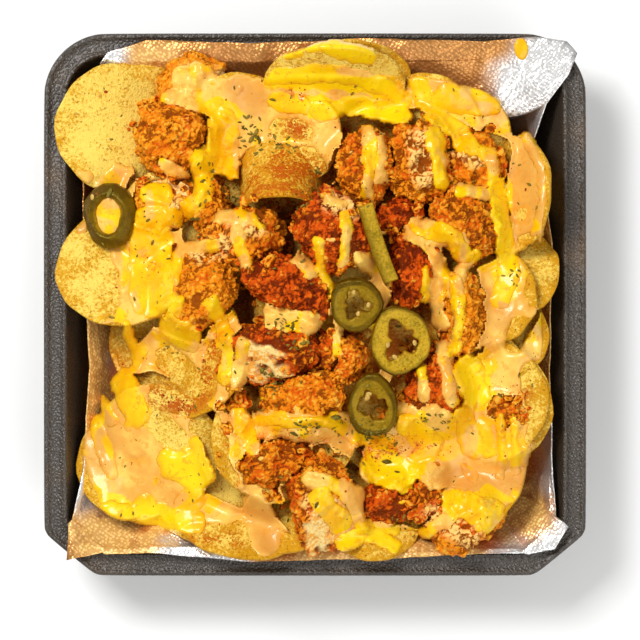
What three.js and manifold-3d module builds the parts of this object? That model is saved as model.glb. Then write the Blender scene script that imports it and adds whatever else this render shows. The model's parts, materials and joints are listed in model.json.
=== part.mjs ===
// A tray of loaded nachos: a black foam tray, an embossed foil liner, a heap of round tortilla chips
// under cheese sauce, pieces of crisp fried chicken and slices of pickled jalapeno.
// Millimetres, +Z up. The origin is the middle of the tray's flat underside.
import * as THREE from "three";
import { ImprovedNoise } from "three/addons/math/ImprovedNoise.js";
import { mergeVertices } from "three/addons/utils/BufferGeometryUtils.js";
import Module from "manifold-3d";

const wasm = await Module();
wasm.setup();

// ---- Driving dimensions -------------------------------------------------------------------------

const GAP = 0.45; // free space between any two pieces

const TRAY_HALF = 114; // half of the tray's width and depth, over its rim
const TRAY_HEIGHT = 40;
const TRAY_FLOOR = 2.6; // thickness of the floor
const TRAY_DRAFT = 12; // how far a wall leans out between the floor and the rim
const RIM_WIDTH = 10;
const WALL_THICKNESS = 3;
const REAR_CORNER_RADIUS = 27;
const FRONT_CORNER_RADIUS = 9;
const FRONT_CLIP = { along: 22, deep: 18 }; // the front corners are cut off at a slant

const FOIL_THICKNESS = 0.5;
const FOIL_WAVE = 1.6; // depth of the soft waves along the foil's free edge

const HEAP_EDGE = 29; // height of the bed of chips at the tray's walls
const HEAP_TOP = 43; // and in the middle
const HEAP_REACH = 98; // distance from the middle at which it is back to HEAP_EDGE

const CHIP_THICKNESS = 2;
const CHIP_SIDES = 11;

const JALAPENO_THICKNESS = 5;
const JALAPENO_WALL = 3.4;
const END_WALL = 5.6; // wall of the slice cut from a pepper's end
const CHAMBER_POINTS = 12;
const CHAMBER_BAY = 0.24; // how deep the bays between the seed chambers are, as a share of the opening
const CHAMBER_TURN = 0.4;

// ---- Small helpers ------------------------------------------------------------------------------

const noise = new ImprovedNoise();
const radians = THREE.MathUtils.degToRad;

function toSolid(geometry) {
  const bare = geometry.clone();
  for (const name of Object.keys(bare.attributes)) {
    if (name !== "position") bare.deleteAttribute(name);
  }
  const merged = mergeVertices(bare, 1e-4);
  const corners = [];
  for (let i = 0; i < merged.index.count; i += 3) {
    const [a, b, c] = merged.index.array.slice(i, i + 3);
    if (a !== b && b !== c && c !== a) corners.push(a, b, c);
  }
  return new wasm.Manifold(
    new wasm.Mesh({
      numProp: 3,
      vertProperties: merged.attributes.position.array,
      triVerts: new Uint32Array(corners),
    }),
  );
}

function toGeometry(solid) {
  const mesh = solid.getMesh();
  const geometry = new THREE.BufferGeometry();
  geometry.setAttribute("position", new THREE.BufferAttribute(mesh.vertProperties, 3));
  geometry.setIndex(new THREE.BufferAttribute(mesh.triVerts, 1));
  geometry.computeVertexNormals();
  return geometry;
}

const SLIVER = 0.03; // a fold this fine isn't kept

// A cut can leave crumbs and slivers behind: only the largest body stays, without its slivers.
function largestBody(solid) {
  const bodies = solid.decompose();
  return bodies.reduce((a, b) => (a.volume() >= b.volume() ? a : b)).simplify(SLIVER);
}

// Closed solid through a stack of loops of equal length, with a flat fan at each end.
function loft(loops) {
  const count = loops[0].length;
  const vertices = loops.flat();
  const faces = [];
  for (let row = 0; row + 1 < loops.length; row++) {
    for (let i = 0; i < count; i++) {
      const a = row * count + i;
      const b = row * count + ((i + 1) % count);
      faces.push(a, b, b + count, a, b + count, a + count);
    }
  }
  for (const [row, turned] of [[0, true], [loops.length - 1, false]]) {
    const middle = vertices.length;
    const loop = loops[row];
    vertices.push(loop.reduce((sum, p) => sum.add(p), new THREE.Vector3()).divideScalar(count));
    for (let i = 0; i < count; i++) {
      const a = row * count + i;
      const b = row * count + ((i + 1) % count);
      faces.push(...(turned ? [b, a, middle] : [a, b, middle]));
    }
  }
  const geometry = new THREE.BufferGeometry().setFromPoints(vertices);
  geometry.setIndex(faces);
  return geometry;
}

// Value of a list of [place, value] at a place, with a smooth step from each entry to the next.
function along(list, place) {
  const next = list.findIndex(([at]) => at > place);
  if (next <= 0) return list[next === 0 ? 0 : list.length - 1][1];
  const [from, low] = list[next - 1];
  const [to, high] = list[next];
  return low + (high - low) * THREE.MathUtils.smoothstep(place, from, to);
}

// ---- Plan of the tray ---------------------------------------------------------------------------

// The tray's corners in plan, going round from the front right: place, radius and steps of the arc,
// and whether the side that follows is a long one.
const PLAN = [
  [TRAY_HALF, FRONT_CLIP.deep - TRAY_HALF, FRONT_CORNER_RADIUS, 2, true],
  [TRAY_HALF, TRAY_HALF, REAR_CORNER_RADIUS, 7, true],
  [-TRAY_HALF, TRAY_HALF, REAR_CORNER_RADIUS, 7, true],
  [-TRAY_HALF, FRONT_CLIP.deep - TRAY_HALF, FRONT_CORNER_RADIUS, 2, false],
  [FRONT_CLIP.along - TRAY_HALF, -TRAY_HALF, FRONT_CORNER_RADIUS, 2, true],
  [TRAY_HALF - FRONT_CLIP.along, -TRAY_HALF, FRONT_CORNER_RADIUS, 2, false],
].map(([x, y, radius, steps, long]) => ({ at: new THREE.Vector2(x, y), radius, steps, long }));

const MIN_RADIUS = 2;

// The tray's outline, set in from the rim's edge. Its long and slanted sides get the given numbers of
// points.
function outline(inset, sidePoints = 0, slantPoints = 0) {
  const sides = PLAN.map((corner, i) => {
    const way = PLAN[(i + 1) % PLAN.length].at.clone().sub(corner.at).normalize();
    const inward = new THREE.Vector2(-way.y, way.x);
    return { start: corner.at.clone().addScaledVector(inward, inset), way, inward };
  });
  const arcs = PLAN.map((corner, i) => {
    const before = sides.at(i - 1);
    const after = sides[i];
    const apart = after.start.clone().sub(before.start);
    const reach = apart.cross(after.way) / before.way.cross(after.way);
    const radius = Math.max(corner.radius - inset, MIN_RADIUS);
    const turn = Math.acos(before.way.dot(after.way));
    const centre = before.start.clone();
    centre.addScaledVector(before.way, reach - radius * Math.tan(turn / 2));
    centre.addScaledVector(before.inward, radius);
    const first = Math.atan2(-before.inward.y, -before.inward.x);
    return Array.from({ length: corner.steps + 1 }, (_, step) => {
      const angle = first + (turn * step) / corner.steps;
      return new THREE.Vector2(Math.cos(angle), Math.sin(angle)).multiplyScalar(radius).add(centre);
    });
  });
  return arcs.flatMap((arc, i) => {
    const next = arcs[(i + 1) % arcs.length][0];
    const count = PLAN[i].long ? sidePoints : slantPoints;
    const share = (k) => 0.5 - 0.5 * Math.cos((Math.PI * (k + 1)) / (count + 1)); // closer near corners
    const side = Array.from({ length: count }, (_, k) => arc.at(-1).clone().lerp(next, share(k)));
    return [...arc, ...side];
  });
}

const raise = (points, height) => points.map((p) => new THREE.Vector3(p.x, p.y, height));

// ---- Foam tray ----------------------------------------------------------------------------------

const FLOOR_INSET = RIM_WIDTH + TRAY_DRAFT; // the inner wall's foot
// Section of the tray as [inset from the rim's edge, height]: underneath, then over the rim and down
// to the floor.
const TRAY_UNDER = [
  [FLOOR_INSET - 0.5, 0],
  [FLOOR_INSET - WALL_THICKNESS, 2.5],
  [RIM_WIDTH - 1.5, TRAY_HEIGHT - 6],
  [RIM_WIDTH - 3.5, TRAY_HEIGHT - 3.4],
  [1, TRAY_HEIGHT - 3],
  [0, TRAY_HEIGHT - 2.2],
];
const TRAY_RIM = [
  [0, TRAY_HEIGHT - 0.8],
  [1.4, TRAY_HEIGHT],
  [3.2, TRAY_HEIGHT - 1],
  [RIM_WIDTH - 3.4, TRAY_HEIGHT - 1],
  [RIM_WIDTH - 1.4, TRAY_HEIGHT],
];
const TRAY_INSIDE = [
  [RIM_WIDTH, TRAY_HEIGHT - 1],
  [RIM_WIDTH + 1.2, TRAY_HEIGHT - 5],
  [FLOOR_INSET - 1, TRAY_FLOOR + 3],
  [FLOOR_INSET + 2, TRAY_FLOOR],
];

// grow thickens the tray on its upper side, for the space that the food has to leave free.
function traySolid(grow = 0) {
  const section = [
    ...TRAY_UNDER,
    ...TRAY_RIM.map(([inset, height]) => [inset, height + grow]),
    ...TRAY_INSIDE.map(([inset, height]) => [inset + grow, height + grow]),
  ];
  return toSolid(loft(section.map(([inset, height]) => raise(outline(inset), height))));
}

// ---- Foil liner ---------------------------------------------------------------------------------

// How far the foil runs up from the wall's foot, by the bearing from the middle in degrees. It ends
// under the rim on the left and right, lies over the rim in front and behind, and its spare corners
// stick out over the rear right and front left corners.
const FOIL_REACH = [
  [0, 34], [28, 34], [34, 28], [36, 30], [37.3, 36.5], [39.4, 39.5], [41.6, 46], [43.8, 54], [46, 55],
  [50, 52], [57, 48], [85, 50], [100, 48], [118, 50], [126, 48], [129, 42], [132, 36.5], [136, 33], [160, 31], [200, 30], [215, 33],
  [217, 36.5], [219, 39], [221, 41], [224, 55], [227, 55], [229.5, 42], [236, 43], [255, 47], [270, 44], [290, 46],
  [300, 44], [308, 42], [310.5, 43], [313, 49], [316, 49], [318, 46], [319.2, 46], [320.2, 42], [321.5, 37], [324, 36], [333, 34], [360, 34],
];
// How far the foil stands off the wall, by the same bearing.
const FOIL_STAND_OFF = [[0, 0], [26, 0], [32, 6], [35, 6], [37.3, 0], [150, 1], [210, 1], [220, 0]];
// How far the foil's foot hangs in towards the middle, by the same bearing. The foil hangs slack from
// the rim there, most of all across the corners.
const FOIL_SLACK = [
  [0, 3], [30, 3], [40, 12], [47, 17], [60, 16], [80, 9], [98, 7], [110, 14], [126, 14], [138, 5],
  [165, 3], [178, 5], [186, 13], [198, 14], [208, 11], [214, 12], [224, 22], [238, 20], [250, 12], [262, 5],
  [285, 4], [298, 9], [308, 18], [318, 19], [328, 6], [360, 3],
];
// How much farther in the ridge lies. Over the rear right corner the foil is drawn flat, as a flap.
const FOIL_FLAP = [
  [36, 0], [37.3, 2], [39.4, 12], [41.6, 18], [43.8, 22], [46, 26], [48.4, 28], [50.6, 25], [52.7, 21],
  [56.5, 13], [69, 0], [360, 0],
];
const FLAP_DIP = 0.12; // how far the flap hangs down at the ridge, as a share of that
const SLACK_LEFT = 0.15; // the share of the slack that is left at the ridge, or at the foil's edge
const RIDGE_ROW = 36.3; // the length at which the foil gets to the ridge
// Rows of the sheet: the share of the reach, but no farther than the length given, so that a row
// lies on each bend of the foil's way where the foil gets that far.
const FOIL_ROWS = [[0, 0], [0.1, 3.6], [0.5, 20], [0.8, RIDGE_ROW], [0.9, 40.6], [0.95, 45], [1, Infinity]];
const FOIL_SIDE_POINTS = 4;
const FOIL_SLANT_POINTS = 1;
const FOIL_WAVES = 23;

// The foil's way up as [inset, height]: the wall's foot, the wall, the ridge, over the rim and past it.
const FOIL_WAY = [
  [FLOOR_INSET + 2, TRAY_FLOOR + GAP],
  [FLOOR_INSET - 0.2, TRAY_FLOOR + 3.2],
  [RIM_WIDTH + 2.2, TRAY_HEIGHT - 3],
  [RIM_WIDTH + 0.2, TRAY_HEIGHT + 1.4],
  [0, TRAY_HEIGHT + 2.5],
  [-9, TRAY_HEIGHT + 3.5],
].map(([inset, height]) => new THREE.Vector2(inset, height));

// Point and inward normal of the foil's way at a length from its start.
function foilWay(length) {
  let rest = length;
  for (let i = 0; ; i++) {
    const step = FOIL_WAY[i + 1].clone().sub(FOIL_WAY[i]);
    if (rest <= step.length() || i + 2 === FOIL_WAY.length) {
      step.normalize();
      return { at: FOIL_WAY[i].clone().addScaledVector(step, rest), normal: new THREE.Vector2(step.y, -step.x) };
    }
    rest -= step.length();
  }
}

// swell thickens the sheet on both faces, for the space that other pieces have to leave round it.
function foilSolid(swell = 0) {
  const faces = [-swell, FOIL_THICKNESS + swell];
  const base = outline(0, FOIL_SIDE_POINTS, FOIL_SLANT_POINTS);
  const cached = new Map();
  const at = (inset, i) => {
    const key = inset.toFixed(2);
    if (!cached.has(key)) cached.set(key, outline(Number(key), FOIL_SIDE_POINTS, FOIL_SLANT_POINTS));
    return cached.get(key)[i];
  };
  const loopsOf = (offset) =>
    FOIL_ROWS.map(([share, farthest]) =>
      base.map((edge, i) => {
        const bearing = (THREE.MathUtils.radToDeg(Math.atan2(edge.y, edge.x)) + 360) % 360;
        const reach = along(FOIL_REACH, bearing) + swell;
        const length = Math.min(share * reach, farthest);
        const { at: place, normal } = foilWay(length);
        const hang = 1 - (1 - SLACK_LEFT) * Math.min(1, length / Math.min(RIDGE_ROW, reach)) ** 2;
        const drawn = length > RIDGE_ROW + 1 ? 0 : along(FOIL_FLAP, bearing) * Math.min(1, length / RIDGE_ROW) ** 2;
        const slack = length > RIDGE_ROW + 1 ? 0 : along(FOIL_SLACK, bearing) * hang + drawn;
        const wave = FOIL_WAVE * (0.5 + 0.5 * Math.sin(radians(FOIL_WAVES * bearing)));
        const standOff = (along(FOIL_STAND_OFF, bearing) + wave) * share * share;
        const wall = at(place.x + offset * normal.x + standOff, i);
        const point = wall.clone().multiplyScalar(1 - slack / wall.length());
        const height = place.y + offset * Math.abs(normal.y) + standOff / 4 - FLAP_DIP * drawn;
        return new THREE.Vector3(point.x, point.y, height);
      }),
    );
  return toSolid(loft([...loopsOf(faces[0]), ...loopsOf(faces[1]).reverse()]));
}

// ---- Bed of the heap ----------------------------------------------------------------------------

function heapHeight(x, y) {
  const share = Math.max(0, 1 - (x * x + y * y) / HEAP_REACH ** 2);
  return HEAP_EDGE + (HEAP_TOP - HEAP_EDGE) * share;
}

const BED_LUMP = 2.2; // height of the bed's bumps
const BED_LUMP_SPACING = 17;
// Rings of the bed's top as [inset from the rim's edge, how far the heap has slumped there].
const BED_RINGS = [[19.5, 9], [32, 2], [46, 0], [72, 0]];
const BED_SIDE_POINTS = 1;

function bedSolid() {
  const foot = FLOOR_INSET + 2 + FOIL_THICKNESS + 2 * GAP;
  const bottom = TRAY_FLOOR + FOIL_THICKNESS + 2 * GAP;
  const top = BED_RINGS.map(([inset, slump]) =>
    outline(inset, BED_SIDE_POINTS).map(({ x, y }) => {
      const lump = BED_LUMP * noise.noise(x / BED_LUMP_SPACING, y / BED_LUMP_SPACING, 0.5);
      return new THREE.Vector3(x, y, heapHeight(x, y) - slump + lump);
    }),
  );
  const wall = [
    [foot, bottom],
    [foot - 2.5, bottom + 3],
  ].map(([inset, height]) => raise(outline(inset, BED_SIDE_POINTS), height));
  return toSolid(loft([...wall, ...top]));
}

// ---- Tortilla chips -----------------------------------------------------------------------------

// A chip that shows: place of its middle over the bed, diameter, how far it leans and towards which
// bearing its top face looks, and how strongly it is curled, as the angle its arc spans.
const CHIPS = [
  { x: -82, y: 74, up: 11, diameter: 55, lean: 17, faces: -20, curl: 25 },
  { x: -82, y: 15, up: 12, diameter: 54, lean: 26, faces: 80, curl: 30 },
  { x: -66, y: -17, up: 5, diameter: 48, lean: 24, faces: 200, curl: 35 },
  { x: -51, y: -21, up: 7, diameter: 54, lean: 46, faces: 170, curl: 60 },
  { x: -67, y: -60, up: 12, diameter: 56, lean: 22, faces: 215, curl: 35 },
  { x: -76, y: -67, up: 5, diameter: 50, lean: 14, faces: 60, curl: 30 },
  { x: 8, y: 87, up: 19, diameter: 60, lean: 50, faces: 270, curl: 30 },
  { x: 14, y: 90, up: 14, diameter: 54, lean: 44, faces: 268, curl: 25 },
  { x: 47, y: 75, up: 11, diameter: 46, lean: 26, faces: 230, curl: 40 },
  { x: 61, y: 71, up: 9, diameter: 44, lean: 24, faces: 250, curl: 30 },
  { x: -32, y: 76, up: 9, diameter: 44, lean: 18, faces: 270, curl: 25 },
  { x: -14, y: 62, up: 14, diameter: 56, lean: 48, faces: 90, curl: 190 },
  { x: -10, y: 71, up: 11, diameter: 44, lean: 26, faces: 205, curl: 40 },
  { x: 82, y: 46, up: 12, diameter: 50, lean: 60, faces: 178, curl: 45 },
  { x: 81, y: 13, up: 8, diameter: 44, lean: 38, faces: 130, curl: 70 },
  { x: 74, y: 2, up: 9, diameter: 42, lean: 44, faces: 160, curl: 60 },
  { x: 79, y: -14, up: 7, diameter: 40, lean: 34, faces: 150, curl: 50 },
  { x: 72, y: -40, up: 13, diameter: 52, lean: 20, faces: 185, curl: 35 },
  { x: -33, y: -83, up: 8, diameter: 54, lean: 34, faces: 80, curl: 30 },
  { x: -21, y: -58, up: 8, diameter: 52, lean: 44, faces: 25, curl: 40 },
  { x: -6, y: -53, up: 7, diameter: 48, lean: 14, faces: 100, curl: 25 },
  { x: -12, y: -88, up: 11, diameter: 36, lean: 34, faces: 120, curl: 60 },
  { x: 24, y: -87, up: 10, diameter: 44, lean: 24, faces: 70, curl: 30 },
  { x: 66, y: -30, up: 10, diameter: 46, lean: 14, faces: 200, curl: 30 },
  { x: 50, y: -61, up: 8, diameter: 54, lean: 12, faces: 290, curl: 25 },
  { x: 68, y: -73, up: 9, diameter: 50, lean: 26, faces: 135, curl: 35 },
  { x: -45, y: -78, up: 8, diameter: 46, lean: 18, faces: 120, curl: 25 },
];

const CHIP_RIPPLE = 1.3; // how far a chip's edge waves up and down
const FLAT_CURL = 32; // a chip curled less than this has a plain cone for its top face

// A round chip, flat in XY, then rolled about its own X axis and rippled along its edge.
function chipSolid({ x, y, up, diameter, lean, faces, curl }) {
  const radius = diameter / 2;
  const half = CHIP_THICKNESS / 2;
  const section = [[0, -half], [radius - 0.3, -half], [radius, half * 0.4], [0, half]];
  if (curl > FLAT_CURL) section.splice(3, 0, [radius * 0.6, half]);
  const profile = section.map(([r, height]) => new THREE.Vector2(r, height));
  const geometry = new THREE.LatheGeometry(profile, CHIP_SIDES);
  geometry.rotateX(Math.PI / 2);
  const bend = diameter / radians(curl); // radius of the roll
  const points = geometry.attributes.position;
  for (let i = 0; i < points.count; i++) {
    const p = new THREE.Vector3().fromBufferAttribute(points, i);
    const angle = p.y / bend;
    const ripple = CHIP_RIPPLE * Math.sin(3 * Math.atan2(p.y, p.x) + x) * (Math.hypot(p.x, p.y) / radius) ** 2;
    const out = bend + p.z + ripple;
    points.setXYZ(i, p.x, out * Math.sin(angle), out * Math.cos(angle) - bend);
  }
  const bearing = radians(faces);
  geometry.rotateZ(Math.PI / 2 - bearing);
  geometry.rotateY(radians(lean));
  geometry.rotateZ(bearing);
  geometry.translate(x, y, heapHeight(x, y) + up);
  return toSolid(geometry);
}

// ---- Fried chicken ------------------------------------------------------------------------------

// A piece of chicken: place of its middle, half-sizes in plan, turn, height over the bed and, where
// the white meat shows, the bearing of the torn face.
const CHICKEN = [
  { x: -51, y: 92, long: 14, wide: 12, turn: 30, up: 11, torn: -40 },
  { x: -60, y: 71, long: 16, wide: 14, turn: 70, up: 13 },
  { x: -63, y: 43, long: 12, wide: 10, turn: 10, up: 10, torn: 80 },
  { x: -44, y: 40, long: 10, wide: 7, turn: 100, up: 10 },
  { x: -47, y: 7, long: 16, wide: 14, turn: 60, up: 14, torn: 120 },
  { x: -28, y: 28, long: 14, wide: 11, turn: 20, up: 15 },
  { x: 21, y: 57, long: 15, wide: 10, turn: 95, up: 15 },
  { x: 43, y: 59, long: 15, wide: 12, turn: 100, up: 16 },
  { x: 66, y: 58, long: 12, wide: 10, turn: 30, up: 14 },
  { x: 7, y: 31, long: 15, wide: 14, turn: 130, up: 17 },
  { x: -12, y: 8, long: 17, wide: 11, turn: 160, up: 15 },
  { x: 62, y: 33, long: 14, wide: 12, turn: 150, up: 16 },
  { x: 41, y: 15, long: 16, wide: 10, turn: 80, up: 10 },
  { x: -18, y: -19, long: 17, wide: 13, turn: 10, up: 15, torn: 240 },
  { x: -3, y: -40, long: 16, wide: 11, turn: 5, up: 13 },
  { x: 15, y: -23, long: 9, wide: 6, turn: 80, up: 12 },
  { x: 50, y: -35, long: 16, wide: 11, turn: 75, up: 12 },
  { x: 5, y: -84, long: 18, wide: 14, turn: 110, up: 16, torn: 300 },
  { x: -17, y: -66, long: 15, wide: 9, turn: 15, up: 14 },
  { x: 31, y: -83, long: 10, wide: 8, turn: 0, up: 13 },
  { x: 47, y: -79, long: 12, wide: 6, turn: 75, up: 11 },
  { x: 63, y: -90, long: 16, wide: 10, turn: 25, up: 14 },
  { x: 74, y: -99, long: 7, wide: 5, turn: 20, up: 8 },
  { x: 80, y: -46, long: 6.5, wide: 5.5, turn: 60, up: 17 },
  { x: 34, y: -47, long: 8, wide: 5, turn: 80, up: 11 },
  { x: 34, y: 37, long: 10, wide: 7, turn: 20, up: 11 },
  { x: 62, y: -3, long: 15, wide: 8, turn: 95, up: 12 },
  { x: 2, y: -21, long: 9, wide: 7, turn: 60, up: 11 },
  { x: -34, y: -43, long: 7, wide: 5, turn: 100, up: 10 },
];
const LUMP = 0.34; // how uneven a piece is, as a share of its size
const LUMP_SPACING = 1.15;
const CRAG = 0.15; // height of the crust's crags, as a share of the piece's size
const CRAG_SPACING = 0.55;
const FULLNESS = 1.12; // how well a piece fills its half-sizes
const SMALL_PIECE = 17.5; // a piece shorter than this has fewer faces

const chickenDepth = ({ long, wide }) => 0.42 * (long + wide);

// Distance from the middle of a piece to its crust in a direction, with its half-lengths at 1.
function crust(direction, seed) {
  const p = direction.clone().divideScalar(CRAG_SPACING).addScalar(seed * 3.7);
  const q = direction.clone().divideScalar(LUMP_SPACING).addScalar(seed * 5.3 + 0.5);
  const crags = noise.noise(p.x, p.y, p.z) + 0.5 * noise.noise(2 * p.x, 2 * p.y, 2 * p.z);
  return FULLNESS + LUMP * noise.noise(q.x, q.y, q.z) + CRAG * crags;
}

// Sends a point from the piece's own unit ball to its place in the tray.
function placeChicken(point, piece, grow) {
  const { x, y, long, wide, turn, up } = piece;
  point.multiply(new THREE.Vector3(long + grow, wide + grow, chickenDepth(piece) + grow));
  point.applyAxisAngle(THREE.Object3D.DEFAULT_UP.clone().set(0, 0, 1), radians(turn));
  return point.add(new THREE.Vector3(x, y, heapHeight(x, y) + up));
}

function chickenSolid(piece, grow = 0) {
  const seed = CHICKEN.indexOf(piece);
  const detail = piece.long < SMALL_PIECE ? 1 : 2;
  const geometry = new THREE.IcosahedronGeometry(1, detail);
  const tornTo = piece.torn === undefined ? null : radians(piece.torn - piece.turn);
  const cut = tornTo === null ? null : new THREE.Vector3(Math.cos(tornTo), Math.sin(tornTo), 1).normalize();
  const points = geometry.attributes.position;
  for (let i = 0; i < points.count; i++) {
    const direction = new THREE.Vector3().fromBufferAttribute(points, i).normalize();
    // Rounded block: lumps are squarer than balls.
    const square = 1 / Math.max(Math.abs(direction.x), Math.abs(direction.y), Math.abs(direction.z));
    const point = direction.clone().multiplyScalar(crust(direction, seed) * (0.62 + 0.38 * square));
    if (cut) point.addScaledVector(cut, -Math.max(0, point.dot(cut) - TORN_AT));
    placeChicken(point, piece, grow);
    points.setXYZ(i, point.x, point.y, point.z);
  }
  return toSolid(geometry);
}
const TORN_AT = 0.72; // how far from the middle the torn face lies

// ---- Pickled jalapeno ---------------------------------------------------------------------------

// A slice: place, radius across and along, height over the bed, lean and the way its top face looks.
const JALAPENOS = [
  { x: -86, y: 37, across: 11.5, along: 14, up: 18.5, lean: 14, faces: 200, chambers: 1 },
  { x: 17, y: 0, across: 11, along: 11.5, up: 19, lean: 16, faces: 250, chambers: 3 },
  { x: 35, y: -15, across: 12.5, along: 14.5, up: 20.5, lean: 10, faces: 320, chambers: 3 },
  { x: 24, y: -42, across: 10.5, along: 13.5, up: 18, lean: 14, faces: 230, chambers: 2 },
];
const STRIP = { x: 26, y: 25, up: 25, length: 34, width: 6.5, depth: 3.6, turn: -71, lean: 12 };

// The opening of a slice, with a bay for each seed chamber.
function chamberOpening({ across, along, chambers }) {
  const bay = chambers > 1 ? CHAMBER_BAY : 0;
  const wall = chambers > 1 ? JALAPENO_WALL : END_WALL;
  const points = Array.from({ length: CHAMBER_POINTS }, (_, k) => {
    const angle = (2 * Math.PI * k) / CHAMBER_POINTS;
    const share = 1 - bay + bay * Math.cos(chambers * angle + CHAMBER_TURN);
    const reach = { x: share * (across - wall), y: share * (along - wall) };
    return new THREE.Vector2(reach.x * Math.cos(angle), reach.y * Math.sin(angle));
  });
  return new THREE.Path(points);
}

// grow thickens a slice and shuts its opening, for the space that other pieces have to leave it.
function jalapenoSolid(slice, grow = 0) {
  const bevel = 0.7;
  const edge = grow - bevel;
  const shape = new THREE.Shape().absellipse(0, 0, slice.across + edge, slice.along + edge, 0, 2 * Math.PI);
  if (!grow) shape.holes.push(chamberOpening(slice));
  const geometry = new THREE.ExtrudeGeometry(shape, {
    depth: JALAPENO_THICKNESS - 2 * bevel + 2 * grow,
    bevelSize: bevel,
    bevelThickness: bevel,
    bevelSegments: 1,
    curveSegments: 7,
  });
  geometry.translate(0, 0, bevel - JALAPENO_THICKNESS / 2 - grow);
  const { x, y, up, lean, faces } = slice;
  geometry.rotateZ(-radians(faces));
  geometry.rotateY(radians(lean));
  geometry.rotateZ(radians(faces));
  geometry.translate(x, y, heapHeight(x, y) + up);
  return toSolid(geometry);
}

function stripSolid(grow = 0) {
  const { x, y, up, length, width, depth, turn, lean } = STRIP;
  const bevel = 0.8;
  const shape = new THREE.Shape();
  const half = { x: length / 2 - bevel + grow, y: width / 2 - bevel + grow };
  shape.moveTo(-half.x, -half.y);
  shape.quadraticCurveTo(0, -half.y - 1.2, half.x, -half.y);
  shape.lineTo(half.x, half.y);
  shape.quadraticCurveTo(0, half.y - 1.2, -half.x, half.y);
  const geometry = new THREE.ExtrudeGeometry(shape, {
    depth: depth - 2 * bevel + 2 * grow,
    bevelSize: bevel,
    bevelThickness: bevel,
    bevelSegments: 1,
    curveSegments: 5,
  });
  geometry.translate(0, 0, bevel - depth / 2 - grow);
  geometry.rotateY(radians(lean));
  geometry.rotateZ(radians(turn));
  geometry.translate(x, y, heapHeight(x, y) + up);
  return toSolid(geometry);
}

// ---- Putting it together ------------------------------------------------------------------------

const paint = (color, roughness, metalness = 0) => new THREE.MeshStandardMaterial({ color, roughness, metalness });
const MATERIALS = {
  foam: paint("#1d1c1b", 0.6),
  foil: paint("#c9c6c2", 0.25, 1),
  chips: paint("#e8b845", 0.6),
  chicken: paint("#b8501a", 0.75),
  jalapeno: paint("#7d7f1c", 0.35),
};

const nachos = new THREE.Group();

function addPiece(name, solid, material) {
  const mesh = new THREE.Mesh(toGeometry(solid), material);
  mesh.name = name;
  nachos.add(mesh);
}

addPiece("tray", traySolid(), MATERIALS.foam);
addPiece("foil_liner", foilSolid(), MATERIALS.foil);

// Each topping is cut by the space round those that lie over it, and the heap by the space round all.
const taken = [foilSolid(3 * GAP), traySolid(GAP)];
function addTopping(name, solid, space, material) {
  const left = largestBody(taken.reduce((rest, space) => rest.subtract(space), solid));
  addPiece(name, left, material);
  taken.push(space);
}
JALAPENOS.forEach((slice, k) =>
  addTopping(`jalapeno_${k + 1}`, jalapenoSolid(slice), jalapenoSolid(slice, GAP), MATERIALS.jalapeno),
);
addTopping("jalapeno_strip", stripSolid(), stripSolid(GAP), MATERIALS.jalapeno);
CHICKEN.forEach((piece, k) => {
  const name = `chicken_${String(k + 1).padStart(2, "0")}`;
  addTopping(name, chickenSolid(piece), chickenSolid(piece, GAP), MATERIALS.chicken);
});

const pieces = [bedSolid(), ...CHIPS.map(chipSolid)];
const fused = pieces.reduce((heap, piece) => heap.add(piece));
const heap = largestBody(taken.reduce((rest, space) => rest.subtract(space), fused));
addPiece("chip_heap", heap, MATERIALS.chips);

export default nachos;
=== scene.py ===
"""A tray of loaded nachos: a black foam tray with an embossed foil liner, a heap of round tortilla chips
under cheese sauce and a paler peach sauce, crisp fried chicken, slices of pickled jalapeno, herb
flakes and red seasoning. Metres, +Z up, with the origin in the middle of the tray's underside. Places
on the heap are given in millimetres, seen from above, with the rear of the tray at +Y."""

import json
import math
import random
from contextlib import contextmanager

import bmesh
import bpy
import numpy as np
from bpy.props import FloatProperty, FloatVectorProperty, IntProperty, PointerProperty
from bpy.types import Operator, Panel, PropertyGroup
from mathutils import Matrix, Vector, noise
from mathutils.bvhtree import BVHTree

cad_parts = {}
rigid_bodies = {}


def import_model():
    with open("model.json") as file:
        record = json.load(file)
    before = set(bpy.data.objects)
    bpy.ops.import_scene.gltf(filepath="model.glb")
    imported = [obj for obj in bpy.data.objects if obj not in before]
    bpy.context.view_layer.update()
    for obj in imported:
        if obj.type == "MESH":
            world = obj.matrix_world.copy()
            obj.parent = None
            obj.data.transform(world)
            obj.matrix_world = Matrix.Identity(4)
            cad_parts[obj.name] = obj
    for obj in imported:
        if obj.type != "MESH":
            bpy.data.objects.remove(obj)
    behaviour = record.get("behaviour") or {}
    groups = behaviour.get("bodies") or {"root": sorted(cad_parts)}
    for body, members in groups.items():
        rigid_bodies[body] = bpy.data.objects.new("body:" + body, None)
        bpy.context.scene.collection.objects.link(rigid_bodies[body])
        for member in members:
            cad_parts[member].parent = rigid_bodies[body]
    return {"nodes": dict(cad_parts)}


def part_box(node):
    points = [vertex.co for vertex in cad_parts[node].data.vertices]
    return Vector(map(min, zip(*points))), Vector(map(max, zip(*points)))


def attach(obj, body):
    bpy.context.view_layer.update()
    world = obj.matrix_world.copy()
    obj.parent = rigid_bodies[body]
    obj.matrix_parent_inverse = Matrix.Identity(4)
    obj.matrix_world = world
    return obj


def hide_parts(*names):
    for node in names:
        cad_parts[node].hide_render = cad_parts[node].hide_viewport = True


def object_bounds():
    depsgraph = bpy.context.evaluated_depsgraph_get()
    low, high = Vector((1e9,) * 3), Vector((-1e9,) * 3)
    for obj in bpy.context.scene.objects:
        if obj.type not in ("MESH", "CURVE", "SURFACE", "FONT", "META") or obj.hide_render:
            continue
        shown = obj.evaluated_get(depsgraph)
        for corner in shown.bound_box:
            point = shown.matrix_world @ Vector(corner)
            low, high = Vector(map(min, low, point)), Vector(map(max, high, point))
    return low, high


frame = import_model()
CAD_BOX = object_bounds()

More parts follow.
